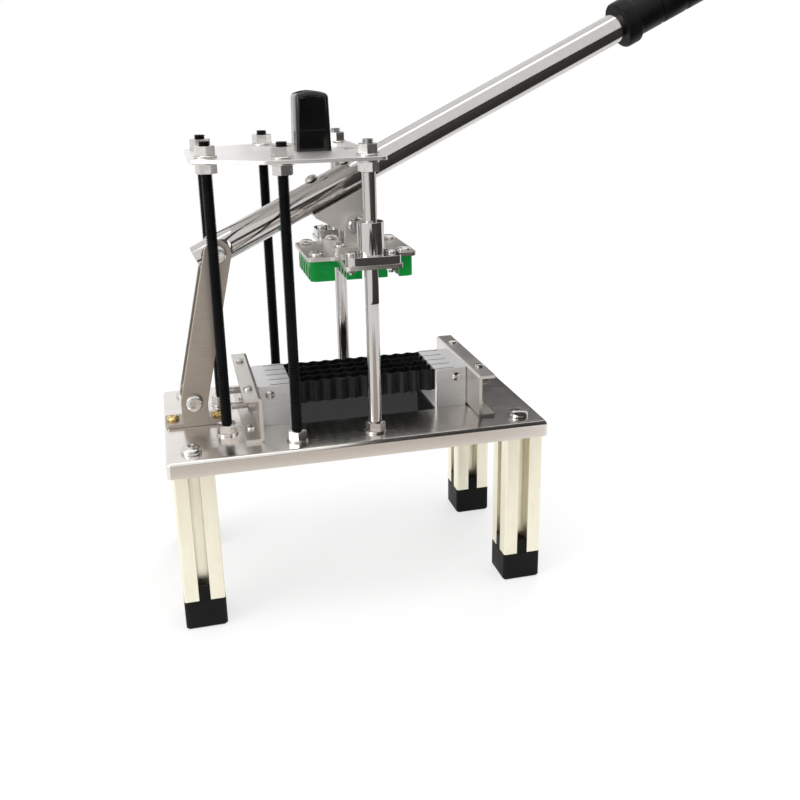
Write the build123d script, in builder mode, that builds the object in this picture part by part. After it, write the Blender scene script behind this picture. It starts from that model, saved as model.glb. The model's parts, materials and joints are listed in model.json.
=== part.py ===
"""Lever press that cuts crinkle fries: a tray on four legs, six posts, a sliding head and five wavy blades.

The frame is millimetres, +X along the tray to the handle, +Y to the back, +Z up from the floor.
The head is modelled raised and the lever up.
"""

import math
import os

from build123d import *

os.makedirs("parts", exist_ok=True)

# Clearances, radial round shafts and holes, and the reach of every through cut
running_gap = 0.05
hole_gap = 0.2
side_gap = 0.3
overrun = 1

# Fasteners: thread, width across flats, nut height, washer and pan head
m8_thread = 8
m8_flats = 13
m8_nut_height = 6.5
m8_washer_diameter = 16
m8_washer_sheet = 1.6
m8_core = 6.7
m6_thread = 6
m6_flats = 10
m6_nut_height = 5
m5_thread = 5
m5_flats = 8
m5_nut_height = 4
m5_head_diameter = 9.5
m5_head_height = 3.4
m4_thread = 4
m4_flats = 7
m4_nut_height = 3.2
m4_head_diameter = 7
m4_head_height = 2.4
thread_stand = 2
head_round_share = 0.45

# Tray that carries everything, a bent sheet with turned down sides
plate_length = 286
plate_width = 160
plate_sheet = 2
plate_flange = 12
plate_bend = 3
chute_length = 114
chute_width = 58
chute_corner = 4

# Legs cut from slotted square profile, and their plastic feet
leg_side = 30
leg_length = 111
leg_inset = 3
leg_corner = 2
leg_bore = 6.8
slot_mouth = 8.2
slot_lip = 2.2
slot_inner = 16
slot_floor = 8
slot_depth = 8.6
foot_side = 30.6
foot_height = 23
foot_corner = 3
foot_toe = 1.5
tongue_rise = 12
tongue_gap = 0.2
leg_screw_head = 15
leg_screw_head_height = 5
leg_screw_grip = 16

# Places of the posts, measured from the press axis that the guide rods stand on
press_from_left = 154
outer_post_back = 108
outer_post_half = 33
mid_post_back = 59
guide_inset = 19.5
guide_diameter = 10
post_stand = 3

# Top plate, a long hexagon with a notch for the lever
top_height = 203
top_sheet = 2.5
top_right = 12
top_left = 120
top_margin = 12
top_shoulder = 72
top_corner = 6
notch_depth = 18
notch_half = 16
notch_corner = 5

# Stop block on the top plate
cap_back = 29.4
cap_length = 25.6
cap_width = 30
cap_height = 42
cap_taper = 2
cap_edge = 4
cap_crown = 3
cap_panel_margin = 3
cap_panel_depth = 1
cap_panel_foot = 14
cap_screw_spread = 16
cap_screw_bite = 10

# Head that slides on the guide rods
head_lift = 129
head_travel = 88
head_sheet = 3
head_length = 82
head_width = 68
head_tab_length = 42
head_tab_margin = 13
head_corner = 4
guide_clear = 2
bushing_diameter = 19
bushing_length = 29
bushing_flange = 6
bushing_flange_length = 40
bushing_flange_width = 26
bushing_flange_corner = 6
bushing_screw_spread = 29

# Pusher block with fingers that pass between the blades
pusher_length = 78
pusher_width = 62
pusher_cap = 5.5
finger_depth = 10
pusher_corner = 5
finger_slot = 4.6
cross_notch = 9
cross_notch_places = (-16.5, 4, 23.5)
pusher_screw_x = 33
pusher_screw_y = 25
pusher_screw_head = 11
pusher_screw_head_height = 3.6
pusher_screw_bite = 4.5

# Clevis that joins the lever to the head
clevis_length = 40
clevis_width = 48
clevis_base = 4
clevis_ear_inner = 9.5
clevis_ear = 4
clevis_ear_length = 18
clevis_pin_height = 18.5
clevis_screw_x = 14
clevis_screw_y = 18.5
clevis_screw_bite = 4.5
pin_diameter = 8
pin_head = 13
pin_head_height = 3

# Lever: a steel tube with a bracket below it and a rubber grip
lever_angle = 26
tube_diameter = 22
tube_wall = 1.5
tube_tail = 16
pin_reach = 99.8
pin_drop = 32.6
saddle_length = 48
saddle_sheet = 3
saddle_width = 18
saddle_boss = 9
lever_bolt_spread = 29
lever_bolt_shift = 1.7
lever_slot_length = 24
lever_slot_height = 14.4
grip_end = 477
grip_length = 125
grip_wall_end = 5
grip_radius = 14.5
grip_groove = 1.6
grip_groove_width = 4
grip_collar = 17.5
grip_collar_length = 13
grip_lip = 2.5
grip_rings = 5
grip_round = 4

# Links from the tray to the tail of the lever
link_length = 115
link_width = 20
link_sheet = 4
link_inner = 12
base_pivot_height = 21
ear_sheet = 3
bracket_foot_length = 46
bracket_screw_spread = 34
pivot_head_diameter = 13
pivot_head_height = 4

# Blade set: wavy blades between two carriers, pulled tight against two rails
blade_count = 5
blade_pitch = 12
blade_thickness = 0.8
blade_height = 17
blade_foot = 15
blade_wave = 1.25
blade_wave_length = 10
blade_waves = 11
blade_tang = 16
tang_slot_gap = 0.15
carrier_length = 26
carrier_width = 54
carrier_edge = 1
rail_sheet = 2.5
rail_height = 34
rail_depth = 13
rail_length = 116
rail_screw_half = 35
stud_half = 18
stud_height = 16
stud_bite = 12
stud_stand = 20
cross_screw_height = 25
cross_screw_inset = 9

# Levels and places worked out from the sizes above
plate_top = foot_height + leg_length + plate_sheet
plate_under = plate_top - plate_sheet
top_face = plate_top + top_height
top_under = top_face - top_sheet
head_face = plate_top + head_lift
head_under = head_face - head_sheet
pusher_under = head_under - pusher_cap - finger_depth
pin_level = head_face + clevis_pin_height
grip_start = grip_end - grip_length
guide_half = plate_width / 2 - guide_inset
top_half = guide_half + top_margin
top_nose_half = outer_post_half + top_margin
lean = math.radians(lever_angle)
lever_run = Vector(math.cos(lean), 0, math.sin(lean))
lever_up = Vector(-math.sin(lean), 0, math.cos(lean))
tail_from_pin = lever_run * -pin_reach + lever_up * pin_drop
link_rise = clevis_pin_height + head_lift + tail_from_pin.Z - base_pivot_height
link_offset = math.sqrt(link_length**2 - link_rise**2)

# The whole object's middle in X is the origin, so the press axis stands left of it
grip_waist = grip_radius - grip_groove
grip_nose = grip_waist - grip_round
reach_right = (
    tail_from_pin.X
    + (grip_end - grip_round) * math.cos(lean)
    + grip_nose * math.sin(lean)
    + grip_round
)
press_x = (press_from_left - reach_right) / 2
left_x = press_x - press_from_left
plate_middle_x = left_x + plate_length / 2
pin_point = Vector(press_x, 0, pin_level)
tail_point = pin_point + tail_from_pin
base_pivot = Vector(tail_point.X - link_offset, 0, plate_top + base_pivot_height)

lever_plane = Plane(origin=tail_point, x_dir=lever_run, z_dir=(0, -1, 0))
tube_plane = Plane(origin=tail_point, x_dir=(0, 1, 0), z_dir=lever_run)
bolt_plane = Plane(origin=tail_point, x_dir=lever_run, z_dir=lever_up)

leg_x_half = plate_length / 2 - leg_inset - leg_side / 2
leg_y_half = plate_width / 2 - leg_inset - leg_side / 2
leg_spots = {
    "front_left": (plate_middle_x - leg_x_half, -leg_y_half),
    "front_right": (plate_middle_x + leg_x_half, -leg_y_half),
    "rear_left": (plate_middle_x - leg_x_half, leg_y_half),
    "rear_right": (plate_middle_x + leg_x_half, leg_y_half),
}
rod_spots = {
    "outer_front": (press_x - outer_post_back, -outer_post_half),
    "outer_rear": (press_x - outer_post_back, outer_post_half),
    "inner_front": (press_x - mid_post_back, -guide_half),
    "inner_rear": (press_x - mid_post_back, guide_half),
}
guide_spots = {"front": (press_x, -guide_half), "rear": (press_x, guide_half)}
post_spots = list(rod_spots.values()) + list(guide_spots.values())
post_hole = m8_thread + 2 * hole_gap
nut_pack = m8_washer_sheet + m8_nut_height
post_foot = plate_under - nut_pack - thread_stand
post_head = top_face + nut_pack + post_stand

chute_half = chute_length / 2
carrier_out = chute_half + carrier_length
rail_middle = carrier_out + rail_depth / 2
blade_places = [blade_pitch * (i - (blade_count - 1) / 2) for i in range(blade_count)]
blade_level = plate_top + blade_foot
carrier_height = blade_foot + blade_height
rail_screw_out = carrier_out + (rail_depth + rail_sheet) / 2
rail_screw_spots = [
    (press_x + side * rail_screw_out, y) for side in (-1, 1) for y in (-rail_screw_half, rail_screw_half)
]
bracket_spots = [
    (base_pivot.X - bracket_screw_spread / 2, 0),
    (base_pivot.X + bracket_screw_spread / 2, 0),
]
ear_outer = link_inner - side_gap
ear_inner = ear_outer - ear_sheet
lever_bolt_spots = [
    (pin_reach + lever_bolt_shift - lever_bolt_spread / 2, 0),
    (pin_reach + lever_bolt_shift + lever_bolt_spread / 2, 0),
]
m5_hole = m5_thread + 2 * hole_gap
m4_hole = m4_thread + 2 * hole_gap
m6_hole = m6_thread + 2 * hole_gap


def hexagons(flats, bore, spots):
    """Draw the outlines of hex nuts round the given spots."""
    with Locations(*spots):
        RegularPolygon(flats / 2, 6, major_radius=False)
        Circle(bore / 2 + running_gap, mode=Mode.SUBTRACT)


def circles(diameter, spots, mode=Mode.ADD):
    """Draw circles of one diameter on the given spots."""
    with Locations(*spots):
        Circle(diameter / 2, mode=mode)


def pan_screws(level, spots, head, head_height, shank, depth):
    """Make screws with round heads that stand on a level face and reach down from it."""
    with Locations(*[(x, y, level) for x, y in spots]):
        Cylinder(head / 2, head_height, align=(Align.CENTER, Align.CENTER, Align.MIN))
    crowns = [edge for edge in edges().filter_by(GeomType.CIRCLE) if edge.center().Z > level + running_gap]
    chamfer(crowns, head_height * head_round_share)
    with Locations(*[(x, y, level) for x, y in spots]):
        Cylinder(shank / 2, depth, align=(Align.CENTER, Align.CENTER, Align.MAX))


# Tray
with BuildPart() as base_plate:
    with BuildSketch(Plane.XY.offset(plate_top)):
        with Locations((plate_middle_x, 0)):
            RectangleRounded(plate_length, plate_width, plate_bend)
    extrude(amount=-plate_flange)
    fillet(faces().sort_by(Axis.Z)[-1].edges(), plate_bend)
    underside = faces().sort_by(Axis.Z)[0]
    offset(amount=-plate_sheet, openings=underside)
    with BuildSketch(Plane.XY.offset(plate_top)):
        with Locations((press_x, 0)):
            RectangleRounded(chute_length, chute_width, chute_corner)
        circles(post_hole, post_spots + list(leg_spots.values()))
        circles(m4_hole, rail_screw_spots)
        circles(m5_hole, bracket_spots)
    extrude(amount=-plate_sheet - overrun, mode=Mode.SUBTRACT)
base_plate.part.label = "base_plate"
export_step(base_plate.part, "parts/base_plate.step")

# Legs and feet
for name, spot in leg_spots.items():
    with BuildPart() as leg:
        with BuildSketch(Plane.XY.offset(foot_height)):
            with Locations(spot):
                RectangleRounded(leg_side, leg_side, leg_corner)
                Circle(leg_bore / 2, mode=Mode.SUBTRACT)
                with PolarLocations(leg_side / 2, 4):
                    Rectangle(2 * slot_lip, slot_mouth, mode=Mode.SUBTRACT)
                with PolarLocations(leg_side / 2, 4):
                    Polygon(
                        (-slot_lip, slot_inner / 2),
                        (-slot_lip, -slot_inner / 2),
                        (-slot_depth, -slot_floor / 2),
                        (-slot_depth, slot_floor / 2),
                        align=None,
                        mode=Mode.SUBTRACT,
                    )
        extrude(amount=leg_length)
    leg.part.label = f"leg_{name}"
    export_step(leg.part, f"parts/leg_{name}.step")

    with BuildPart() as foot:
        with BuildSketch():
            with Locations(spot):
                RectangleRounded(foot_side, foot_side, foot_corner)
        extrude(amount=foot_height)
        chamfer(faces().sort_by(Axis.Z)[0].edges(), foot_toe)
        with BuildSketch(Plane.XY.offset(foot_height)):
            with Locations(spot):
                with PolarLocations(leg_side / 2 - slot_lip / 2, 4):
                    Rectangle(slot_lip, slot_mouth - 2 * tongue_gap)
        extrude(amount=tongue_rise)
    foot.part.label = f"foot_{name}"
    export_step(foot.part, f"parts/foot_{name}.step")

with BuildPart() as leg_screws:
    leg_screw_spots = list(leg_spots.values())
    pan_screws(plate_top, leg_screw_spots, leg_screw_head, leg_screw_head_height, m8_thread, plate_sheet)
    with BuildSketch(Plane.XY.offset(plate_under)):
        circles(m8_core, leg_screw_spots)
    extrude(amount=-leg_screw_grip)
leg_screws.part.label = "leg_screws"
export_step(leg_screws.part, "parts/leg_screws.step")

# Posts: four threaded rods and two guide rods, with nuts and washers on both plates
for name, spot in rod_spots.items():
    with BuildPart() as rod:
        with BuildSketch(Plane.XY.offset(post_foot)):
            circles(m8_thread, [spot])
        extrude(amount=post_head - post_foot)
    rod.part.label = f"threaded_rod_{name}"
    export_step(rod.part, f"parts/threaded_rod_{name}.step")

for name, spot in guide_spots.items():
    with BuildPart() as guide:
        with BuildSketch(Plane.XY.offset(post_foot)):
            circles(m8_thread, [spot])
        extrude(amount=post_head - post_foot)
        with BuildSketch(Plane.XY.offset(plate_top + nut_pack)):
            circles(guide_diameter, [spot])
        extrude(amount=top_under - plate_top - 2 * nut_pack)
    guide.part.label = f"guide_rod_{name}"
    export_step(guide.part, f"parts/guide_rod_{name}.step")

washer_levels = (
    plate_under - m8_washer_sheet,
    plate_top,
    top_under - m8_washer_sheet,
    top_face,
)
with BuildPart() as post_washers:
    for level in washer_levels:
        with BuildSketch(Plane.XY.offset(level)):
            circles(m8_washer_diameter, post_spots)
            circles(post_hole, post_spots, mode=Mode.SUBTRACT)
        extrude(amount=m8_washer_sheet)
post_washers.part.label = "post_washers"
export_step(post_washers.part, "parts/post_washers.step")

nut_levels = (
    plate_under - nut_pack,
    plate_top + m8_washer_sheet,
    top_under - nut_pack,
    top_face + m8_washer_sheet,
)
with BuildPart() as post_nuts:
    for level in nut_levels:
        with BuildSketch(Plane.XY.offset(level)):
            hexagons(m8_flats, m8_thread, post_spots)
        extrude(amount=m8_nut_height)
post_nuts.part.label = "post_nuts"
export_step(post_nuts.part, "parts/post_nuts.step")

# Top plate and its stop block
cap_x = press_x - cap_back
cap_screw_spots = [(cap_x, -cap_screw_spread / 2), (cap_x, cap_screw_spread / 2)]
with BuildPart() as top_plate:
    with BuildSketch(Plane.XY.offset(top_under)):
        with BuildLine():
            Polyline(
                (press_x + top_right, -top_half),
                (press_x + top_right, top_half),
                (press_x - top_shoulder, top_half),
                (press_x - top_left, top_nose_half),
                (press_x - top_left, -top_nose_half),
                (press_x - top_shoulder, -top_half),
                close=True,
            )
        make_face()
        fillet(vertices(), top_corner)
        with Locations((press_x + top_right, 0)):
            Rectangle(2 * notch_depth, 2 * notch_half, mode=Mode.SUBTRACT)
        notch_x = press_x + top_right - notch_depth
        notch_ends = vertices().filter_by_position(Axis.X, notch_x - running_gap, notch_x + running_gap)
        fillet(notch_ends, notch_corner)
        circles(post_hole, post_spots, mode=Mode.SUBTRACT)
        circles(m4_hole, cap_screw_spots, mode=Mode.SUBTRACT)
    extrude(amount=top_sheet)
top_plate.part.label = "top_plate"
export_step(top_plate.part, "parts/top_plate.step")

with BuildPart() as top_cap:
    with BuildSketch(Plane.XY.offset(top_face)):
        with Locations((cap_x, 0)):
            RectangleRounded(cap_length, cap_width, cap_edge)
    extrude(amount=cap_height, taper=math.degrees(math.atan2(cap_taper / 2, cap_height)))
    fillet(faces().sort_by(Axis.Z)[-1].edges(), cap_crown)
    panel_length = cap_length - cap_taper - 2 * cap_panel_margin
    with BuildSketch(Plane.XZ.offset(cap_width / 2 - cap_taper / 2 - cap_panel_depth)):
        with Locations((cap_x, top_face + (cap_height + cap_panel_foot - cap_panel_margin) / 2)):
            Rectangle(panel_length, cap_height - cap_panel_foot - cap_panel_margin)
    extrude(amount=cap_taper + cap_panel_depth, mode=Mode.SUBTRACT)
    with BuildSketch(Plane.XY.offset(top_face)):
        circles(m4_thread + 2 * running_gap, cap_screw_spots)
    extrude(amount=cap_screw_bite + side_gap, mode=Mode.SUBTRACT)
top_cap.part.label = "top_cap"
export_step(top_cap.part, "parts/top_cap.step")

with BuildPart() as cap_screws:
    with BuildSketch(Plane.XY.offset(top_under - m4_head_height)):
        circles(m4_head_diameter, cap_screw_spots)
    extrude(amount=m4_head_height)
    with BuildSketch(Plane.XY.offset(top_under)):
        circles(m4_thread, cap_screw_spots)
    extrude(amount=top_sheet + cap_screw_bite)
cap_screws.part.label = "cap_screws"
export_step(cap_screws.part, "parts/cap_screws.step")

# Blade set: rails, carriers, blades and what pulls them tight
rail_start = {"left": -1, "right": 1}
stud_spots = [(y, plate_top + stud_height) for y in (-stud_half, stud_half)]
cross_screw_out = carrier_out - cross_screw_inset
cross_screw_x = {side: press_x + sign * cross_screw_out for side, sign in rail_start.items()}
for name, sign in rail_start.items():
    with BuildPart() as rail:
        with BuildSketch(Plane.XZ.offset(-rail_length / 2)):
            with Locations((press_x + sign * rail_middle, plate_top + rail_height / 2)):
                Rectangle(rail_depth, rail_height)
            with Locations((press_x + sign * (rail_middle + rail_sheet), plate_top + rail_height / 2)):
                Rectangle(rail_depth, rail_height - 2 * rail_sheet, mode=Mode.SUBTRACT)
        extrude(amount=rail_length)
        bends = edges().filter_by(Axis.Y).filter_by_position(
            Axis.X,
            press_x + sign * carrier_out - running_gap,
            press_x + sign * carrier_out + running_gap,
        )
        fillet(bends, rail_sheet)
        with BuildSketch(Plane.XY.offset(plate_top)):
            circles(m4_hole, [spot for spot in rail_screw_spots if (spot[0] - press_x) * sign > 0])
        extrude(amount=rail_height, mode=Mode.SUBTRACT)
        with BuildSketch(Plane.YZ.offset(press_x + sign * carrier_out)):
            circles(m6_hole, stud_spots)
        extrude(amount=sign * rail_sheet, both=True, mode=Mode.SUBTRACT)
    rail.part.label = f"rail_{name}"
    export_step(rail.part, f"parts/rail_{name}.step")

    with BuildPart() as carrier:
        with BuildSketch(Plane.XY.offset(plate_top)):
            with Locations((press_x + sign * (chute_half + carrier_length / 2), 0)):
                Rectangle(carrier_length, carrier_width)
        extrude(amount=carrier_height)
        chamfer(edges().filter_by(Axis.Z), carrier_edge)
        with BuildSketch(Plane.XY.offset(blade_level)):
            with Locations(*[(press_x + sign * chute_half, y) for y in blade_places]):
                Rectangle(2 * (blade_tang + side_gap), blade_thickness + 2 * tang_slot_gap)
        extrude(amount=blade_height + overrun, mode=Mode.SUBTRACT)
        with BuildSketch(Plane.YZ.offset(press_x + sign * carrier_out)):
            circles(m6_thread + 2 * running_gap, stud_spots)
        extrude(amount=-sign * (stud_bite + side_gap), mode=Mode.SUBTRACT)
        with BuildSketch(Plane.XZ):
            circles(m4_thread + 2 * running_gap, [(cross_screw_x[name], plate_top + cross_screw_height)])
        extrude(amount=carrier_width, both=True, mode=Mode.SUBTRACT)
    carrier.part.label = f"carrier_{name}"
    export_step(carrier.part, f"parts/carrier_{name}.step")

wave_start = press_x - blade_waves * blade_wave_length / 2
wave_steps = ((0.1, 1), (0.4, 1), (0.6, -1), (0.9, -1))
crests = [
    (wave_start + (wave + step) * blade_wave_length, blade_wave * rise)
    for wave in range(blade_waves)
    for step, rise in wave_steps
]
tang_end = chute_half + blade_tang
blade_line = [(press_x - tang_end, 0), (wave_start, 0)]
blade_line += crests
blade_line += [(wave_start + blade_waves * blade_wave_length, 0), (press_x + tang_end, 0)]
for number, place in enumerate(blade_places, 1):
    near_side = [(x, place + y - blade_thickness / 2) for x, y in blade_line]
    far_side = [(x, place + y + blade_thickness / 2) for x, y in reversed(blade_line)]
    with BuildPart() as blade:
        with BuildSketch(Plane.XY.offset(blade_level)):
            with BuildLine():
                Polyline(*near_side, *far_side, close=True)
            make_face()
        extrude(amount=blade_height)
        with BuildSketch(Plane.XZ.offset(-place)):
            circles(m4_hole, [(x, plate_top + cross_screw_height) for x in cross_screw_x.values()])
        extrude(amount=blade_thickness, both=True, mode=Mode.SUBTRACT)
    blade.part.label = f"blade_{number}"
    export_step(blade.part, f"parts/blade_{number}.step")

with BuildPart() as cross_screws:
    cross_spots = [(x, plate_top + cross_screw_height) for x in cross_screw_x.values()]
    with BuildSketch(Plane.XZ.offset(carrier_width / 2)):
        circles(m4_head_diameter, cross_spots)
    extrude(amount=m4_head_height)
    with BuildSketch(Plane.XZ.offset(carrier_width / 2)):
        circles(m4_thread, cross_spots)
    extrude(amount=-carrier_width - m4_nut_height - thread_stand)
    with BuildSketch(Plane.XZ.offset(-carrier_width / 2)):
        hexagons(m4_flats, m4_thread, cross_spots)
    extrude(amount=-m4_nut_height)
cross_screws.part.label = "carrier_screws"
export_step(cross_screws.part, "parts/carrier_screws.step")

with BuildPart() as tension_studs:
    for sign in rail_start.values():
        with BuildSketch(Plane.YZ.offset(press_x + sign * (carrier_out - stud_bite))):
            circles(m6_thread, stud_spots)
        extrude(amount=sign * (stud_bite + stud_stand))
tension_studs.part.label = "tension_studs"
export_step(tension_studs.part, "parts/tension_studs.step")

with BuildPart() as tension_nuts:
    for sign in rail_start.values():
        with BuildSketch(Plane.YZ.offset(press_x + sign * (carrier_out + rail_sheet))):
            hexagons(m6_flats, m6_thread, stud_spots)
        extrude(amount=sign * m6_nut_height)
tension_nuts.part.label = "tension_nuts"
export_step(tension_nuts.part, "parts/tension_nuts.step")

with BuildPart() as rail_screws:
    rail_top = plate_top + rail_height
    clamp_depth = rail_sheet + m4_nut_height + thread_stand
    pan_screws(rail_top, rail_screw_spots, m4_head_diameter, m4_head_height, m4_thread, clamp_depth)
    with BuildSketch(Plane.XY.offset(rail_top - rail_sheet)):
        hexagons(m4_flats, m4_thread, rail_screw_spots)
    extrude(amount=-m4_nut_height)
    with BuildSketch(Plane.XY.offset(plate_top + rail_sheet)):
        circles(m4_head_diameter, rail_screw_spots)
    extrude(amount=m4_head_height)
    with BuildSketch(Plane.XY.offset(plate_top + rail_sheet)):
        circles(m4_thread, rail_screw_spots)
    extrude(amount=-rail_sheet - plate_sheet - m4_nut_height - thread_stand)
    with BuildSketch(Plane.XY.offset(plate_under)):
        hexagons(m4_flats, m4_thread, rail_screw_spots)
    extrude(amount=-m4_nut_height)
rail_screws.part.label = "rail_screws"
export_step(rail_screws.part, "parts/rail_screws.step")

# Bracket and bolt that hold the links on the tray
pivot_spot = (base_pivot.X, base_pivot.Z)
with BuildPart() as pivot_bracket:
    with BuildSketch(Plane.XZ.offset(-ear_outer)):
        with BuildLine():
            Polyline(
                (base_pivot.X - link_width / 2, plate_top),
                (base_pivot.X + link_width / 2, plate_top),
                (base_pivot.X + link_width / 2, base_pivot.Z),
                (base_pivot.X - link_width / 2, base_pivot.Z),
                close=True,
            )
        make_face()
        circles(link_width, [pivot_spot])
        circles(m8_thread + 2 * running_gap, [pivot_spot], mode=Mode.SUBTRACT)
    extrude(amount=2 * ear_outer)
    with BuildSketch(Plane.XY.offset(plate_top + ear_sheet)):
        with Locations((base_pivot.X, 0)):
            Rectangle(link_width + overrun, 2 * ear_inner)
    extrude(amount=base_pivot_height + link_width, mode=Mode.SUBTRACT)
    with BuildSketch(Plane.XY.offset(plate_top)):
        with Locations((base_pivot.X, 0)):
            RectangleRounded(bracket_foot_length, 2 * ear_outer, ear_sheet)
    extrude(amount=ear_sheet)
    with BuildSketch(Plane.XY.offset(plate_top)):
        circles(m5_hole, bracket_spots)
    extrude(amount=ear_sheet, mode=Mode.SUBTRACT)
pivot_bracket.part.label = "pivot_bracket"
export_step(pivot_bracket.part, "parts/pivot_bracket.step")

with BuildPart() as pivot_bracket_screws:
    bracket_face = plate_top + ear_sheet
    bracket_depth = ear_sheet + plate_sheet + m5_nut_height + thread_stand
    pan_screws(bracket_face, bracket_spots, m5_head_diameter, m5_head_height, m5_thread, bracket_depth)
    with BuildSketch(Plane.XY.offset(plate_under)):
        hexagons(m5_flats, m5_thread, bracket_spots)
    extrude(amount=-m5_nut_height)
pivot_bracket_screws.part.label = "pivot_bracket_screws"
export_step(pivot_bracket_screws.part, "parts/pivot_bracket_screws.step")

link_outer = link_inner + link_sheet
bolt_face = link_outer + side_gap

# M8 bolts along Y, with a round head in front of the links and a nut behind them
tail_spot = (tail_point.X, tail_point.Z)
cross_bolts = {"base_pivot_bolt": pivot_spot, "link_top_bolt": tail_spot}
for name, spot in cross_bolts.items():
    with BuildPart() as bolt:
        with BuildSketch(Plane.XZ.offset(bolt_face)):
            circles(pivot_head_diameter, [spot])
        extrude(amount=pivot_head_height)
        front_rim = edges().filter_by(GeomType.CIRCLE).sort_by(Axis.Y)[0]
        chamfer(front_rim, pivot_head_height * head_round_share)
        with BuildSketch(Plane.XZ.offset(bolt_face)):
            circles(m8_thread, [spot])
        extrude(amount=-2 * bolt_face - m8_nut_height - thread_stand)
        with BuildSketch(Plane.XZ.offset(-bolt_face)):
            hexagons(m8_flats, m8_thread, [spot])
        extrude(amount=-m8_nut_height)
    bolt.part.label = name
    export_step(bolt.part, f"parts/{name}.step")

# Links
link_places = {"front": link_outer, "rear": -link_inner}
for name, face in link_places.items():
    with BuildPart() as link:
        with BuildSketch(Plane.XZ.offset(face)):
            with Locations(((pivot_spot[0] + tail_spot[0]) / 2, (pivot_spot[1] + tail_spot[1]) / 2)):
                SlotCenterToCenter(
                    link_length, link_width, rotation=math.degrees(math.atan2(link_rise, link_offset))
                )
            circles(m8_thread + 2 * running_gap, [pivot_spot, tail_spot], mode=Mode.SUBTRACT)
        extrude(amount=-link_sheet)
    link.part.label = f"link_{name}"
    export_step(link.part, f"parts/link_{name}.step")

# Lever
tube_end = grip_end - grip_wall_end
with BuildPart() as lever_tube:
    with BuildSketch(tube_plane.offset(-tube_tail)):
        Circle(tube_diameter / 2)
        Circle(tube_diameter / 2 - tube_wall, mode=Mode.SUBTRACT)
    extrude(amount=tube_tail + tube_end)
    with BuildSketch(lever_plane):
        SlotOverall(lever_slot_length, lever_slot_height)
    extrude(amount=tube_diameter, both=True, mode=Mode.SUBTRACT)
    with BuildSketch(bolt_plane):
        circles(m5_hole, lever_bolt_spots)
    extrude(amount=tube_diameter, both=True, mode=Mode.SUBTRACT)
lever_tube.part.label = "lever_tube"
export_step(lever_tube.part, "parts/lever_tube.step")

saddle_top = -tube_diameter / 2
saddle_spot = (pin_reach, saddle_top - saddle_sheet / 2)
with BuildPart() as lever_bracket:
    with BuildSketch(lever_plane.offset(-saddle_width / 2)):
        with Locations(saddle_spot):
            Rectangle(saddle_length, saddle_sheet)
        with Locations((pin_reach, -pin_drop)):
            Circle(saddle_boss)
        make_hull()
        with Locations((pin_reach, -pin_drop)):
            Circle(pin_diameter / 2 + running_gap, mode=Mode.SUBTRACT)
    extrude(amount=saddle_width)
    with BuildSketch(lever_plane):
        with Locations((pin_reach, saddle_top - saddle_sheet - pin_drop)):
            Rectangle(saddle_length + overrun, 2 * pin_drop)
    extrude(amount=saddle_width / 2 - saddle_sheet, both=True, mode=Mode.SUBTRACT)
    with BuildSketch(bolt_plane):
        circles(m5_hole, lever_bolt_spots)
    extrude(amount=-tube_diameter, mode=Mode.SUBTRACT)
lever_bracket.part.label = "lever_bracket"
export_step(lever_bracket.part, "parts/lever_bracket.step")

nut_face = saddle_top - saddle_sheet
with BuildPart() as lever_bolts:
    with BuildSketch(bolt_plane.offset(tube_diameter / 2)):
        circles(m5_head_diameter, lever_bolt_spots)
    extrude(amount=m5_head_height)
    with BuildSketch(bolt_plane.offset(tube_diameter / 2)):
        circles(m5_thread, lever_bolt_spots)
    extrude(amount=nut_face - m5_nut_height - thread_stand - tube_diameter / 2)
    with BuildSketch(bolt_plane.offset(nut_face)):
        hexagons(m5_flats, m5_thread, lever_bolt_spots)
    extrude(amount=-m5_nut_height)
lever_bolts.part.label = "lever_bolts"
export_step(lever_bolts.part, "parts/lever_bolts.step")

# Grip: a rounded lip, then straight lengths between narrow grooves
ring_start = grip_start + grip_collar_length
ring_length = (grip_end - grip_round - ring_start) / grip_rings
groove_half = grip_groove_width / 2
groove_line = []
for ring in range(1, grip_rings):
    groove_x = ring_start + ring * ring_length
    groove_line += [
        (groove_x - groove_half, grip_radius),
        (groove_x, grip_waist),
        (groove_x + groove_half, grip_radius),
    ]
with BuildPart() as grip:
    with BuildSketch(lever_plane):
        with BuildLine():
            inner = tube_diameter / 2 + running_gap
            Polyline(
                (grip_end - grip_round, grip_waist),
                *reversed(groove_line),
                (ring_start, grip_radius),
                (ring_start, grip_collar),
                (grip_start, grip_collar),
                (grip_start, inner),
                (tube_end, inner),
                (tube_end, 0),
                (grip_end, 0),
                (grip_end, grip_nose),
            )
            RadiusArc(
                (grip_end, grip_nose),
                (grip_end - grip_round, grip_waist),
                -grip_round,
            )
        make_face()
        fillet([corner for corner in vertices() if corner.Y > grip_radius + running_gap], grip_lip)
    revolve(axis=Axis(tail_point, lever_run))
grip.part.label = "grip"
export_step(grip.part, "parts/grip.step")

# Head: plate, pusher, bushings and clevis
tab_half = guide_half + head_tab_margin
bushing_screw_spots = [
    (press_x + side * bushing_screw_spread / 2, y)
    for side in (-1, 1)
    for y in (-guide_half, guide_half)
]
pusher_screw_spots = [
    (press_x + x, y) for x in (-pusher_screw_x, pusher_screw_x) for y in (-pusher_screw_y, pusher_screw_y)
]
clevis_screw_spots = [
    (press_x + x, y) for x in (-clevis_screw_x, clevis_screw_x) for y in (-clevis_screw_y, clevis_screw_y)
]
with BuildPart() as head_plate:
    with BuildSketch(Plane.XY.offset(head_under)):
        with Locations((press_x, 0)):
            Rectangle(head_length, head_width)
            Rectangle(head_tab_length, 2 * tab_half)
        fillet(vertices(), head_corner)
        circles(guide_diameter + 2 * guide_clear, list(guide_spots.values()), mode=Mode.SUBTRACT)
        circles(m4_hole, bushing_screw_spots, mode=Mode.SUBTRACT)
        circles(m5_hole, pusher_screw_spots + clevis_screw_spots, mode=Mode.SUBTRACT)
    extrude(amount=head_sheet)
head_plate.part.label = "head_plate"
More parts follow.
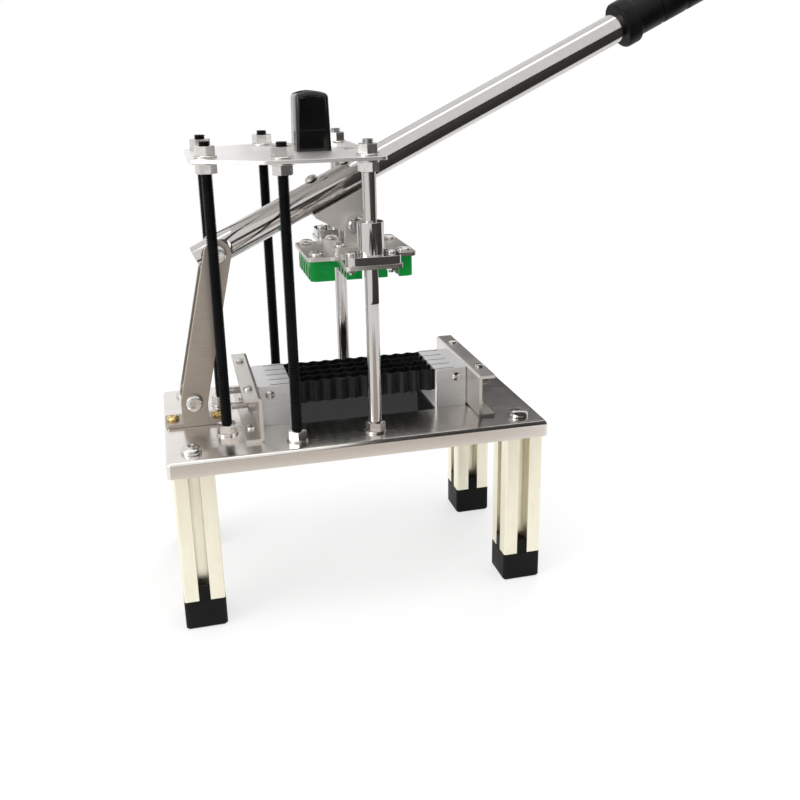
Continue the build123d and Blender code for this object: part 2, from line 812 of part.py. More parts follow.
export_step(head_plate.part, "parts/head_plate.step")

with BuildPart() as pusher:
    with BuildSketch(Plane.XY.offset(pusher_under)):
        with Locations((press_x, 0)):
            RectangleRounded(pusher_length, pusher_width, pusher_corner)
    extrude(amount=finger_depth + pusher_cap)
    with BuildSketch(Plane.XY.offset(pusher_under)):
        with Locations(*[(press_x, y) for y in blade_places]):
            Rectangle(pusher_length + overrun, finger_slot)
        with Locations(*[(press_x + x, 0) for x in cross_notch_places]):
            Rectangle(cross_notch, pusher_width + overrun)
    extrude(amount=finger_depth, mode=Mode.SUBTRACT)
    with BuildSketch(Plane.XY.offset(head_under)):
        circles(m5_thread + 2 * running_gap, pusher_screw_spots + clevis_screw_spots)
    extrude(amount=-pusher_screw_bite - side_gap, mode=Mode.SUBTRACT)
pusher.part.label = "pusher"
export_step(pusher.part, "parts/pusher.step")

with BuildPart() as pusher_screws:
    pan_screws(
        head_face,
        pusher_screw_spots,
        pusher_screw_head,
        pusher_screw_head_height,
        m5_thread,
        head_sheet + pusher_screw_bite,
    )
pusher_screws.part.label = "pusher_screws"
export_step(pusher_screws.part, "parts/pusher_screws.step")

for name, spot in guide_spots.items():
    with BuildPart() as bushing:
        with BuildSketch(Plane.XY.offset(head_face)):
            with Locations(spot):
                RectangleRounded(bushing_flange_length, bushing_flange_width, bushing_flange_corner)
            own_screws = [place for place in bushing_screw_spots if place[1] == spot[1]]
            circles(m4_hole, own_screws, mode=Mode.SUBTRACT)
        extrude(amount=bushing_flange)
        with BuildSketch(Plane.XY.offset(head_face)):
            circles(bushing_diameter, [spot])
        extrude(amount=bushing_length)
        with BuildSketch(Plane.XY.offset(head_face)):
            circles(guide_diameter + 2 * running_gap, [spot])
        extrude(amount=bushing_length, mode=Mode.SUBTRACT)
    bushing.part.label = f"bushing_{name}"
    export_step(bushing.part, f"parts/bushing_{name}.step")

with BuildPart() as bushing_screws:
    flange_face = head_face + bushing_flange
    flange_depth = bushing_flange + head_sheet + m4_nut_height + thread_stand
    pan_screws(flange_face, bushing_screw_spots, m4_head_diameter, m4_head_height, m4_thread, flange_depth)
    with BuildSketch(Plane.XY.offset(head_under)):
        hexagons(m4_flats, m4_thread, bushing_screw_spots)
    extrude(amount=-m4_nut_height)
bushing_screws.part.label = "bushing_screws"
export_step(bushing_screws.part, "parts/bushing_screws.step")

pin_spot = (press_x, pin_level)
ear_half = clevis_ear_inner + clevis_ear
with BuildPart() as head_clevis:
    with BuildSketch(Plane.XY.offset(head_face)):
        with Locations((press_x, 0)):
            RectangleRounded(clevis_length, clevis_width, head_corner)
        circles(m5_hole, clevis_screw_spots, mode=Mode.SUBTRACT)
    extrude(amount=clevis_base)
    with BuildSketch(Plane.XZ.offset(-ear_half)):
        with Locations((press_x, head_face + clevis_base)):
            Rectangle(clevis_ear_length, clevis_pin_height - clevis_base, align=(Align.CENTER, Align.MIN))
        circles(clevis_ear_length, [pin_spot])
        circles(pin_diameter + 2 * running_gap, [pin_spot], mode=Mode.SUBTRACT)
    extrude(amount=2 * ear_half)
    with BuildSketch(Plane.XY.offset(head_face + clevis_base)):
        with Locations((press_x, 0)):
            Rectangle(clevis_ear_length + overrun, 2 * clevis_ear_inner)
    extrude(amount=clevis_pin_height + clevis_ear_length, mode=Mode.SUBTRACT)
head_clevis.part.label = "head_clevis"
export_step(head_clevis.part, "parts/head_clevis.step")

with BuildPart() as clevis_screws:
    pan_screws(
        head_face + clevis_base,
        clevis_screw_spots,
        m5_head_diameter,
        m5_head_height,
        m5_thread,
        clevis_base + head_sheet + clevis_screw_bite,
    )
clevis_screws.part.label = "clevis_screws"
export_step(clevis_screws.part, "parts/clevis_screws.step")

with BuildPart() as head_pin:
    with BuildSketch(Plane.XZ.offset(ear_half)):
        circles(pin_head, [pin_spot])
    extrude(amount=pin_head_height)
    with BuildSketch(Plane.XZ.offset(ear_half)):
        circles(pin_diameter, [pin_spot])
    extrude(amount=-2 * ear_half)
    with BuildSketch(Plane.XZ.offset(-ear_half)):
        circles(pin_head, [pin_spot])
    extrude(amount=-pin_head_height)
head_pin.part.label = "head_pin"
export_step(head_pin.part, "parts/head_pin.step")

print("press axis x", round(press_x, 3), "tail", tail_point, "base pivot", base_pivot, "pin", pin_point)
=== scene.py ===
"""Looks of a lever press that cuts crinkle fries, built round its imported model.

Lengths are in metres.
"""

import json
import math
import random

import bmesh
import bpy
from mathutils import Matrix, Vector


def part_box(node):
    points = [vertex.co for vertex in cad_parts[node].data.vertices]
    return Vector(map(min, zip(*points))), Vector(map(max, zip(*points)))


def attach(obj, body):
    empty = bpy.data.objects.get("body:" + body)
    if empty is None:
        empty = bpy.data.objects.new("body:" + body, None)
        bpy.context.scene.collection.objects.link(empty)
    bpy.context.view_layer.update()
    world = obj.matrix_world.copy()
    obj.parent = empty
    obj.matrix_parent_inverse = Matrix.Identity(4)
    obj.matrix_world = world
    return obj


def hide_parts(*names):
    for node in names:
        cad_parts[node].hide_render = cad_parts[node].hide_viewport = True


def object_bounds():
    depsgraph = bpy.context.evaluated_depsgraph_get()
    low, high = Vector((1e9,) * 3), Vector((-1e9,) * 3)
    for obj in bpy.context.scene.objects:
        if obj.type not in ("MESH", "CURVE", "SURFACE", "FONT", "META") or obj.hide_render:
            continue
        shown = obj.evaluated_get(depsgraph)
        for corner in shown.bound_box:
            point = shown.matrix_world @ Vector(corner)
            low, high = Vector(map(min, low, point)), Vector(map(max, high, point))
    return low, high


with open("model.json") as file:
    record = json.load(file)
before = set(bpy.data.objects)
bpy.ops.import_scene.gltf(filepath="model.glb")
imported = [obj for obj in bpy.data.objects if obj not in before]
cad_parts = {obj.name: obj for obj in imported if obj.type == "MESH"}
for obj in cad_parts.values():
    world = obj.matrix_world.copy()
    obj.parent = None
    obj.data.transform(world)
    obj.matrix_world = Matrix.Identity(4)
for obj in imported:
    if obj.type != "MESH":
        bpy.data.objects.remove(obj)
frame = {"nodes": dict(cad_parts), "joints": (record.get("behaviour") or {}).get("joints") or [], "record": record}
cad_low, cad_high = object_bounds()
scene = bpy.context.scene
dice = random.Random(7)

MM = 0.001
FULL_TURN = 2 * math.pi
RIGHT_ANGLE = math.pi / 2
UP = Vector((0, 0, 1))
SQUARE = ((-1, -1), (1, -1), (1, 1), (-1, 1))

# Camera of the photograph: place from the tray's front left corner, turn, tilt, roll and lens
CAMERA_FROM_CORNER = Vector((15.9, -614.4, 397.7)) * MM
CAMERA_TURN = 0.2567
CAMERA_TILT = 0.3193
CAMERA_ROLL = -0.0141
CAMERA_FOCUS_PX = 925.4
CAMERA_CENTRE_PX = (411.1, 370.5)
PICTURE_PX = 800
SENSOR_WIDTH = 36.0
NEAREST_SEEN = 10 * MM

# Steps round a full turn, more of them on larger pieces
THREAD_STEPS = 20
HEAD_STEPS = 40
DISC_STEPS = 48
ROUND_STEPS = 64
TUBE_STEPS = 96
# Steps of a quarter round, on the grip and on the crown of a screw head
ARC_STEPS = 6
CROWN_STEPS = 7

# Points nearer than this are one: in new pieces, between turns of a thread, in copies of solids
WELD = 1e-6
THREAD_WELD = 1e-5
SOLID_WELD = 2e-6
# Edges that bend more than this are sharp, and faces that bend less than this are one
SHARP_ANGLE = math.radians(32)
FLAT_ANGLE = math.radians(0.5)
EASE_SEGMENTS = 2

# Metric sizes: pitch of the thread, flats and height of the nut, radius and height of the pan head
PITCH = {4: 0.7 * MM, 5: 0.8 * MM, 6: 1.0 * MM, 8: 1.25 * MM}
NUT = {4: (7 * MM, 3.2 * MM), 5: (8 * MM, 4 * MM), 6: (10 * MM, 5 * MM), 8: (13 * MM, 6.5 * MM)}
PAN = {4: (3.5 * MM, 2.4 * MM), 5: (4.75 * MM, 3.4 * MM), 8: (7.5 * MM, 5 * MM)}
# Threads of the posts, and how far a screw stands out of its nut
POST_RADIUS = 4.0 * MM
POST_THREAD_DEPTH = 0.62 * MM
SCREW_TIP = 2 * MM

# Thread: depth on a screw, end of the root and start of the crest, as shares of the pitch
SCREW_THREAD_DEPTH = 0.5
THREAD_ROOT = 0.12
THREAD_CREST = 0.44
# Turns made beyond a thread's length, to be cut off at its ends
SPARE_TURNS = 2

# Nut: six sides, slope of the cut corners and where the cut starts, as a share of the flats
HEX = 6
NUT_CHAMFER = math.radians(30)
NUT_FACE = 0.97

# Pan head: foot as a share of the radius, eased foot and rim as shares of the height, crown's form
PAN_FOOT = 0.97
PAN_EASE = 0.08
PAN_RIM = 0.30
PAN_CROWN = 0.75
# Its cross recess: reach, depth and level in the head, and the arms' half width and taper
RECESS_REACH = 0.55
RECESS_DEPTH = 0.55
RECESS_LEVEL = 0.98
RECESS_ARM = 0.19
RECESS_TAPER = 0.5

# Shares of brushed lines and of smudges in the pattern of a bare metal, and depth of all relief
LINE_SHARE = 0.6
SMUDGE_SHARE = 0.4
RELIEF_DEPTH = 0.2 * MM


# Material building

def shader_group(name, inputs):
    """Make a shader node group with named inputs and return its tree and its two end nodes."""
    tree = bpy.data.node_groups.new(name, "ShaderNodeTree")
    for label, kind, value in inputs:
        socket = tree.interface.new_socket(label, in_out="INPUT", socket_type=kind)
        socket.default_value = value
    for label, kind in (
        ("Colour", "NodeSocketColor"),
        ("Roughness", "NodeSocketFloat"),
        ("Height", "NodeSocketFloat"),
    ):
        tree.interface.new_socket(label, in_out="OUTPUT", socket_type=kind)
    start = tree.nodes.new("NodeGroupInput")
    end = tree.nodes.new("NodeGroupOutput")
    return tree, start, end


def noise(tree, vector, scale, detail, roughness=0.5):
    """Place a noise texture on the given coordinates and return its value socket."""
    node = tree.nodes.new("ShaderNodeTexNoise")
    node.inputs["Scale"].default_value = scale
    node.inputs["Detail"].default_value = detail
    node.inputs["Roughness"].default_value = roughness
    tree.links.new(vector, node.inputs["Vector"])
    return node.outputs["Fac"]


def spread(tree, value, low, high):
    """Stretch the middle of a value's range to 0 and 1."""
    node = tree.nodes.new("ShaderNodeMapRange")
    node.inputs["From Min"].default_value = low
    node.inputs["From Max"].default_value = high
    tree.links.new(value, node.inputs["Value"])
    return node.outputs["Result"]


def between(tree, factor, low, high):
    """Mix two value sockets by a factor."""
    node = tree.nodes.new("ShaderNodeMix")
    node.data_type = "FLOAT"
    tree.links.new(factor, node.inputs["Factor"])
    tree.links.new(low, node.inputs[2])
    tree.links.new(high, node.inputs[3])
    return node.outputs[0]


def blend_colours(tree, factor, low, high):
    """Mix two colour sockets by a factor."""
    node = tree.nodes.new("ShaderNodeMix")
    node.data_type = "RGBA"
    tree.links.new(factor, node.inputs["Factor"])
    tree.links.new(low, node.inputs[6])
    tree.links.new(high, node.inputs[7])
    return node.outputs[2]


def put_out(tree, end, colour, rough, height):
    """Lead the three patterns of a group to its outputs."""
    tree.links.new(colour, end.inputs["Colour"])
    tree.links.new(rough, end.inputs["Roughness"])
    tree.links.new(height, end.inputs["Height"])


def brushed_group():
    """Fine lines along one axis with soft smudges over them, for sheet, bar and tube."""
    tree, start, end = shader_group(
        "brushed_lines",
        [
            ("Stretch", "NodeSocketVector", (1, 1, 1)),
            ("Light", "NodeSocketColor", (0.8, 0.8, 0.8, 1)),
            ("Dark", "NodeSocketColor", (0.6, 0.6, 0.6, 1)),
            ("Smooth", "NodeSocketFloat", 0.15),
            ("Rough", "NodeSocketFloat", 0.3),
        ],
    )
    place = tree.nodes.new("ShaderNodeTexCoord")
    mapping = tree.nodes.new("ShaderNodeMapping")
    tree.links.new(place.outputs["Object"], mapping.inputs["Vector"])
    tree.links.new(start.outputs["Stretch"], mapping.inputs["Scale"])
    lines = noise(tree, mapping.outputs["Vector"], scale=1.0, detail=4.0, roughness=0.6)
    clouds = noise(tree, place.outputs["Object"], scale=38.0, detail=3.0)
    smudge = spread(tree, clouds, low=0.35, high=0.7)
    line_mask = spread(tree, lines, low=0.3, high=0.7)
    both = tree.nodes.new("ShaderNodeMath")
    both.operation = "MULTIPLY_ADD"
    both.inputs[1].default_value = LINE_SHARE
    tree.links.new(line_mask, both.inputs[0])
    lower = tree.nodes.new("ShaderNodeMath")
    lower.operation = "MULTIPLY"
    lower.inputs[1].default_value = SMUDGE_SHARE
    tree.links.new(smudge, lower.inputs[0])
    tree.links.new(lower.outputs[0], both.inputs[2])
    colour = blend_colours(tree, both.outputs[0], start.outputs["Light"], start.outputs["Dark"])
    rough = between(tree, both.outputs[0], start.outputs["Smooth"], start.outputs["Rough"])
    put_out(tree, end, colour, rough, lines)
    return tree


def moulded_group():
    """Fine pebbled grain with faint patches, for plastic, rubber and plain dark coatings."""
    tree, start, end = shader_group(
        "moulded_grain",
        [
            ("Grain", "NodeSocketFloat", 900.0),
            ("Light", "NodeSocketColor", (0.05, 0.05, 0.05, 1)),
            ("Dark", "NodeSocketColor", (0.02, 0.02, 0.02, 1)),
            ("Smooth", "NodeSocketFloat", 0.3),
            ("Rough", "NodeSocketFloat", 0.5),
        ],
    )
    place = tree.nodes.new("ShaderNodeTexCoord")
    fine = tree.nodes.new("ShaderNodeTexNoise")
    fine.inputs["Detail"].default_value = 3.0
    tree.links.new(place.outputs["Object"], fine.inputs["Vector"])
    tree.links.new(start.outputs["Grain"], fine.inputs["Scale"])
    clouds = noise(tree, place.outputs["Object"], scale=55.0, detail=4.0)
    patches = spread(tree, clouds, low=0.35, high=0.68)
    colour = blend_colours(tree, patches, start.outputs["Dark"], start.outputs["Light"])
    rough = between(tree, patches, start.outputs["Smooth"], start.outputs["Rough"])
    put_out(tree, end, colour, rough, fine.outputs["Fac"])
    return tree


def surface(name, group, values, metallic, bump, specular=0.5):
    """Make a material whose colour, roughness and bump come from a node group."""
    material = bpy.data.materials.new(name)
    material.use_nodes = True
    tree = material.node_tree
    shader = tree.nodes["Principled BSDF"]
    shader.inputs["Metallic"].default_value = metallic
    shader.inputs["Specular IOR Level"].default_value = specular
    node = tree.nodes.new("ShaderNodeGroup")
    node.node_tree = group
    for label, value in values.items():
        node.inputs[label].default_value = value
    relief = tree.nodes.new("ShaderNodeBump")
    relief.inputs["Strength"].default_value = bump
    relief.inputs["Distance"].default_value = RELIEF_DEPTH
    tree.links.new(node.outputs["Height"], relief.inputs["Height"])
    tree.links.new(relief.outputs["Normal"], shader.inputs["Normal"])
    tree.links.new(node.outputs["Colour"], shader.inputs["Base Color"])
    tree.links.new(node.outputs["Roughness"], shader.inputs["Roughness"])
    return material


brushed = brushed_group()
moulded = moulded_group()


def grey(level, warm=0.0):
    """A grey, warmed by a little more red and less blue."""
    return (level * (1 + warm), level, level * (1 - warm), 1)


def metal(name, stretch, light, dark, smooth, rough, bump=0.05):
    """Make a bare metal with lines along the axis that is stretched least."""
    values = {"Stretch": stretch, "Light": light, "Dark": dark, "Smooth": smooth, "Rough": rough}
    return surface(name, brushed, values, metallic=1.0, bump=bump)


def plastic(name, grain, light, dark, smooth, rough, bump=0.15, specular=0.5):
    """Make a moulded plastic, a rubber or a plain dark coating."""
    values = {"Grain": grain, "Light": light, "Dark": dark, "Smooth": smooth, "Rough": rough}
    return surface(name, moulded, values, metallic=0.0, bump=bump, specular=specular)


# Finishes of the record's slots: pattern, light and dark tone, smooth and rough end, bump
along_x = (25, 900, 900)
along_z = (900, 900, 25)
across_z = (60, 60, 900)
all_ways = (300, 300, 300)
finish = {
    "stainless_sheet": metal(
        "satin_stainless", along_x, grey(0.72, 0.04), grey(0.62, 0.06), 0.28, 0.42
    ),
    "link_steel": metal(
        "satin_steel_flat", across_z, grey(0.42, 0.12), grey(0.35, 0.13), 0.30, 0.44
    ),
    "polished_steel": metal(
        "bright_ground_steel", along_z, grey(0.60, 0.02), grey(0.50, 0.04), 0.06, 0.16, 0.02
    ),
    "zinc_fastener": metal(
        "bright_zinc", all_ways, grey(0.74, 0.02), grey(0.56, 0.05), 0.14, 0.30, 0.08
    ),
    "black_rod": plastic(
        "black_oxide", 600, grey(0.006), grey(0.003), 0.34, 0.50, specular=0.14
    ),
    "profile_aluminium": metal(
        "anodised_profile", along_z, (0.98, 0.94, 0.79, 1), (0.92, 0.86, 0.69, 1), 0.34, 0.46
    ),
    "carrier_aluminium": metal(
        "machined_aluminium", along_x, grey(0.95), grey(0.86), 0.44, 0.60, 0.08
    ),
    "blade_steel": plastic(
        "black_spring_steel", 500, grey(0.008), grey(0.004), 0.28, 0.42, 0.08, specular=0.25
    ),
    "green_nylon": plastic(
        "green_nylon",
        500,
        (0.003, 0.31, 0.05, 1),
        (0.002, 0.23, 0.035, 1),
        0.26,
        0.38,
        0.1,
        specular=0.14,
    ),
    "black_plastic": plastic(
        "glossy_black_moulding", 400, grey(0.005), grey(0.003), 0.07, 0.13, 0.02, specular=0.45
    ),
    "foot_plastic": plastic(
        "black_foot_moulding", 1200, grey(0.008), grey(0.004), 0.42, 0.58, 0.3, specular=0.14
    ),
    "grip_rubber": plastic(
        "black_grip_rubber", 1500, grey(0.006), grey(0.003), 0.38, 0.52, 0.3, specular=0.15
    ),
}
# Finishes of single pieces that differ from their slot's
yellow_zinc = metal(
    "yellow_zinc", all_ways, (0.80, 0.62, 0.28, 1), (0.62, 0.46, 0.18, 1), 0.18, 0.34, 0.08
)
tray_mirror = metal(
    "mirror_stainless", along_x, grey(0.80, 0.04), grey(0.70, 0.06), 0.19, 0.29, 0.02
)
pale_steel = metal(
    "pale_satin_steel", across_z, grey(0.80, 0.04), grey(0.68, 0.05), 0.40, 0.55, 0.06
)
pale_sheet = metal("pale_satin_sheet", along_x, grey(0.88, 0.02), grey(0.80, 0.03), 0.34, 0.48)

slot_of = {entry["node"]: entry["material_slot"] for entry in frame["record"]["subparts"]}
body_of = {
    node: body for body, nodes in frame["record"]["behaviour"]["bodies"].items() for node in nodes
}
# The solids take the finishes of their slots too
for node, thing in frame["nodes"].items():
    thing.data.materials.clear()
    thing.data.materials.append(finish[slot_of[node]])


# Mesh building

def clean(shape):
    """Merge doubled points and turn all faces outwards."""
    bmesh.ops.remove_doubles(shape, verts=shape.verts, dist=WELD)
    bmesh.ops.recalc_face_normals(shape, faces=shape.faces)


def piece_on(body, name, shape, slot, material=None):
    """Turn a bmesh into a piece that rides on a body and takes its finish from a slot."""
    mesh = bpy.data.meshes.new(name)
    shape.to_mesh(mesh)
    shape.free()
    for face in mesh.polygons:
        face.use_smooth = True
    mesh.set_sharp_from_angle(angle=SHARP_ANGLE)
    piece = bpy.data.objects.new(name, mesh)
    scene.collection.objects.link(piece)
    mesh.materials.append(material or finish[slot])
    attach(piece, body)
    return piece


def dress(name, shape, node, material=None):
    """Make a piece that stands for a CAD node and rides on its body."""
    piece = piece_on(body_of[node], name, shape, slot_of[node], material)
    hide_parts(node)
    return piece


def ease_edges(piece, width):
    """Round the sharp edges of a finished piece."""
    bevel = piece.modifiers.new("soft_edge", "BEVEL")
    bevel.width = width
    bevel.segments = EASE_SEGMENTS
    bevel.limit_method = "ANGLE"
    bevel.angle_limit = SHARP_ANGLE
    bevel.harden_normals = True


def softened(node, width, material=None):
    """Stand a copy of a CAD node with its sharp edges rounded in its place."""
    shape = bmesh.new()
    shape.from_mesh(frame["nodes"][node].data)
    bmesh.ops.remove_doubles(shape, verts=shape.verts, dist=SOLID_WELD)
    bmesh.ops.dissolve_limit(
        shape,
        angle_limit=FLAT_ANGLE,
        verts=shape.verts,
        edges=shape.edges,
        use_dissolve_boundaries=False,
    )
    ease_edges(dress(f"{node}_finished", shape, node, material), width)


def middle(node):
    """The middle of a CAD node's box."""
    low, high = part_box(node)
    return (low + high) / 2


def at(x, y, z, turn=0.0):
    """A place with a turn about Z."""
    return Matrix.Translation((x, y, z)) @ Matrix.Rotation(turn, 4, "Z")


def facing(x, y, z, direction):
    """A place whose Z axis points along a direction."""
    aim = Vector(direction).to_track_quat("Z", "Y").to_matrix().to_4x4()
    return Matrix.Translation((x, y, z)) @ aim


def chance_turn():
    """A turn by chance, as nuts and screws are left."""
    return dice.uniform(0, FULL_TURN)


def quarter_arc(steps):
    """Angles from 0 to a right angle."""
    return [RIGHT_ANGLE * step / steps for step in range(steps + 1)]


def drawn(shape, outline):
    """Draw an outline of (radius, height) points in a bmesh and return its points and edges."""
    points = [shape.verts.new((radius, 0, height)) for radius, height in outline]
    return points + [shape.edges.new(pair) for pair in zip(points, points[1:])]


def new_points(made):
    """The points among what an extrusion made."""
    return [item for item in made["geom"] if isinstance(item, bmesh.types.BMVert)]


def slice_off(shape, spot, normal):
    """Cut off what lies beyond a plane."""
    everything = shape.verts[:] + shape.edges[:] + shape.faces[:]
    bmesh.ops.bisect_plane(
        shape, geom=everything, plane_co=spot, plane_no=normal, clear_outer=True
    )


def close_rims(shape):
    """Fill the open rims of a shape."""
    rim = [edge for edge in shape.edges if edge.is_boundary]
    bmesh.ops.holes_fill(shape, edges=rim, sides=0)


def spun(outline, steps=ROUND_STEPS):
    """Spin an outline of (radius, height) points round the Z axis."""
    shape = bmesh.new()
    bmesh.ops.spin(
        shape,
        geom=drawn(shape, outline),
        cent=(0, 0, 0),
        axis=UP,
        angle=FULL_TURN,
        steps=steps,
        use_merge=True,
    )
    clean(shape)
    return shape


def joined(parts):
    """Put several bmeshes, each at its own places, into one."""
    whole = bmesh.new()
    for part, places in parts:
        mesh = bpy.data.meshes.new("part")
        part.to_mesh(mesh)
        part.free()
        for place in places:
            copy = mesh.copy()
            copy.transform(place)
            whole.from_mesh(copy)
            bpy.data.meshes.remove(copy)
        bpy.data.meshes.remove(mesh)
    return whole


def minus(shape, cutter):
    """Cut one bmesh from another."""
    things = []
    for name, form in (("body", shape), ("cutter", cutter)):
        mesh = bpy.data.meshes.new(name)
        form.to_mesh(mesh)
        form.free()
        thing = bpy.data.objects.new(name, mesh)
        scene.collection.objects.link(thing)
        things.append(thing)
    cut = things[0].modifiers.new("cut", "BOOLEAN")
    cut.operation = "DIFFERENCE"
    cut.object = things[1]
    cut.solver = "EXACT"
    finished = things[0].evaluated_get(bpy.context.evaluated_depsgraph_get())
    done = bpy.data.meshes.new_from_object(finished)
    result = bmesh.new()
    result.from_mesh(done)
    bpy.data.meshes.remove(done)
    for thing in things:
        mesh = thing.data
        bpy.data.objects.remove(thing)
        bpy.data.meshes.remove(mesh)
    return result


def thread(length, radius, pitch, depth):
    """A screw thread from height 0 to the given length, closed at both ends."""
    turn = bmesh.new()
    core = radius - depth
    outline = (
        (core, 0.0),
        (core, THREAD_ROOT),
        (radius, THREAD_CREST),
        (radius, 1 - THREAD_CREST),
        (core, 1 - THREAD_ROOT),
        (core, 1.0),
    )
    bmesh.ops.spin(
        turn,
        geom=drawn(turn, [(reach, (share - 1) * pitch) for reach, share in outline]),
        cent=(0, 0, 0),
        axis=UP,
        dvec=UP * (pitch / THREAD_STEPS),
        angle=FULL_TURN,
        steps=THREAD_STEPS,
    )
    turns = math.ceil(length / pitch) + SPARE_TURNS
    shape = joined([(turn, [at(0, 0, pitch * count) for count in range(-1, turns)])])
    bmesh.ops.remove_doubles(shape, verts=shape.verts, dist=THREAD_WELD)
    slice_off(shape, (0, 0, 0), -UP)
    slice_off(shape, (0, 0, length), UP)
    close_rims(shape)
    clean(shape)
    return shape


def hex_nut(flats, height):
    """A hex nut standing on height 0, with its corners cut at both ends."""
    shape = bmesh.new()
    corner = flats / math.sqrt(3)
    bmesh.ops.create_cone(
        shape, cap_ends=True, segments=HEX, radius1=corner, radius2=corner, depth=height
    )
    for index in range(HEX):
        angle = FULL_TURN * index / HEX
        outward = Vector((math.cos(angle), math.sin(angle), 0))
        for end in (-1, 1):
            normal = outward * math.sin(NUT_CHAMFER) + UP * (end * math.cos(NUT_CHAMFER))
            spot = outward * (flats / 2 * NUT_FACE) + UP * (end * height / 2)
            slice_off(shape, spot, normal)
            close_rims(shape)
    bmesh.ops.translate(shape, verts=shape.verts, vec=(0, 0, height / 2))
    clean(shape)
    return shape


def cross_recess(radius, depth):
    """The cutter of a cross recess, a plus sign that narrows from above height 0 to below it."""
    shape = bmesh.new()
    half = radius * RECESS_ARM
    corners = []
    for quarter in range(4):
        turn = Matrix.Rotation(quarter * RIGHT_ANGLE, 3, "Z")
        for x, y in ((radius, -half), (radius, half), (half, half)):
            corners.append(shape.verts.new(turn @ Vector((x, y, depth))))
    top = shape.faces.new(corners)
    for point in new_points(bmesh.ops.extrude_face_region(shape, geom=[top])):
        point.co.z = -depth
        for axis in (0, 1):
            if abs(point.co[axis]) > 2 * half:
                point.co[axis] *= RECESS_TAPER
    bmesh.ops.recalc_face_normals(shape, faces=shape.faces)
    return shape


def pan_head(radius, height):
    """A round screw head standing on height 0, with a cross recess in its crown."""
    outline = [
        (0, 0),
        (radius * PAN_FOOT, 0),
        (radius, height * PAN_EASE),
        (radius, height * PAN_RIM),
    ]
    for angle in quarter_arc(CROWN_STEPS)[1:-1]:
        rise = PAN_RIM + (1 - PAN_RIM) * math.sin(angle)
        outline.append((radius * math.cos(angle) ** PAN_CROWN, height * rise))
    outline.append((0, height))
    cutter = cross_recess(radius * RECESS_REACH, height * RECESS_DEPTH)
    bmesh.ops.translate(cutter, verts=cutter.verts, vec=(0, 0, height * RECESS_LEVEL))
    return minus(spun(outline, HEAD_STEPS), cutter)


def shank(size, length):
    """A threaded shank of a metric size that hangs down from height 0."""
    form = thread(length, size / 2 * MM, PITCH[size], PITCH[size] * SCREW_THREAD_DEPTH)
    bmesh.ops.translate(form, verts=form.verts, vec=(0, 0, -length))
    return form


def bolted(size, head, grip_length, nut=True):
    """A screw with its head on height 0, its shank below and a nut at the end of its grip."""
    flats, height = NUT[size]
    parts = [(head, [Matrix()])]
    if nut:
        parts.append((shank(size, grip_length + height + SCREW_TIP), [Matrix()]))
        nut_place = at(0, 0, -grip_length - height, chance_turn())
        parts.append((hex_nut(flats, height), [nut_place]))
    else:
        parts.append((shank(size, grip_length), [Matrix()]))
    return joined(parts)


def pan_screw(size, grip_length, nut=True, head=None):
    """A screw of a metric size with a pan head."""
    return bolted(size, pan_head(*(head or PAN[size])), grip_length, nut)


def turned(places):
    """The places, each with a chance turn about its own axis."""
    return [place @ Matrix.Rotation(chance_turn(), 4, "Z") for place in places]


def screws(name, form, places, node, material=None):
    """Stand copies of one screw on the given places."""
    dress(name, joined([(form, turned(places))]), node, material)


# Frame posts
rods = [
    "threaded_rod_outer_front",
    "threaded_rod_outer_rear",
    "threaded_rod_inner_front",
    "threaded_rod_inner_rear",
]
guides = ["guide_rod_front", "guide_rod_rear"]
base_low, base_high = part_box("base_plate")
top_low, top_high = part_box("top_plate")
washer_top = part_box("post_washers")[1].z
nut_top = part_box("post_nuts")[1].z
tray_sheet = 2 * MM
tray_top = base_high.z
tray_under = tray_top - tray_sheet
washer_sheet = washer_top - top_high.z
nut_height = nut_top - washer_top

rod_low, rod_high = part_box(rods[0])
rod_thread = thread(rod_high.z - rod_low.z, POST_RADIUS, PITCH[8], POST_THREAD_DEPTH)
for node in rods:
    centre = middle(node)
    rod_place = at(centre.x, centre.y, rod_low.z, chance_turn())
    shape = rod_thread.copy()
    bmesh.ops.transform(shape, matrix=rod_place, verts=shape.verts)
    dress(f"{node}_cut", shape, node)

guide_ease = 0.5 * MM
bar_low = tray_top + washer_sheet + nut_height
bar_high = top_low.z - washer_sheet - nut_height
for node in guides:
    low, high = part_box(node)
    centre = middle(node)
    radius = (high.x - low.x) / 2
    bar = spun(
        [
            (0, bar_low),
            (radius - guide_ease, bar_low),
            (radius, bar_low + guide_ease),
            (radius, bar_high - guide_ease),
            (radius - guide_ease, bar_high),
            (0, bar_high),
        ]
    )
    stub_low = thread(bar_low - low.z, POST_RADIUS, PITCH[8], POST_THREAD_DEPTH)
    stub_high = thread(high.z - bar_high, POST_RADIUS, PITCH[8], POST_THREAD_DEPTH)
    whole = joined(
        [
            (bar, [at(centre.x, centre.y, 0)]),
            (stub_low, [at(centre.x, centre.y, low.z)]),
            (stub_high, [at(centre.x, centre.y, bar_high)]),
        ]
    )
    dress(f"{node}_ground", whole, node)

posts = [middle(node) for node in rods + guides]
nut_levels = (
    tray_under - washer_sheet - nut_height,
    tray_top + washer_sheet,
    top_low.z - washer_sheet - nut_height,
    top_high.z + washer_sheet,
)
nut_places = [at(post.x, post.y, level, chance_turn()) for post in posts for level in nut_levels]
post_nut = hex_nut(NUT[8][0], nut_height)
dress("post_nuts_cut", joined([(post_nut, nut_places)]), "post_nuts")

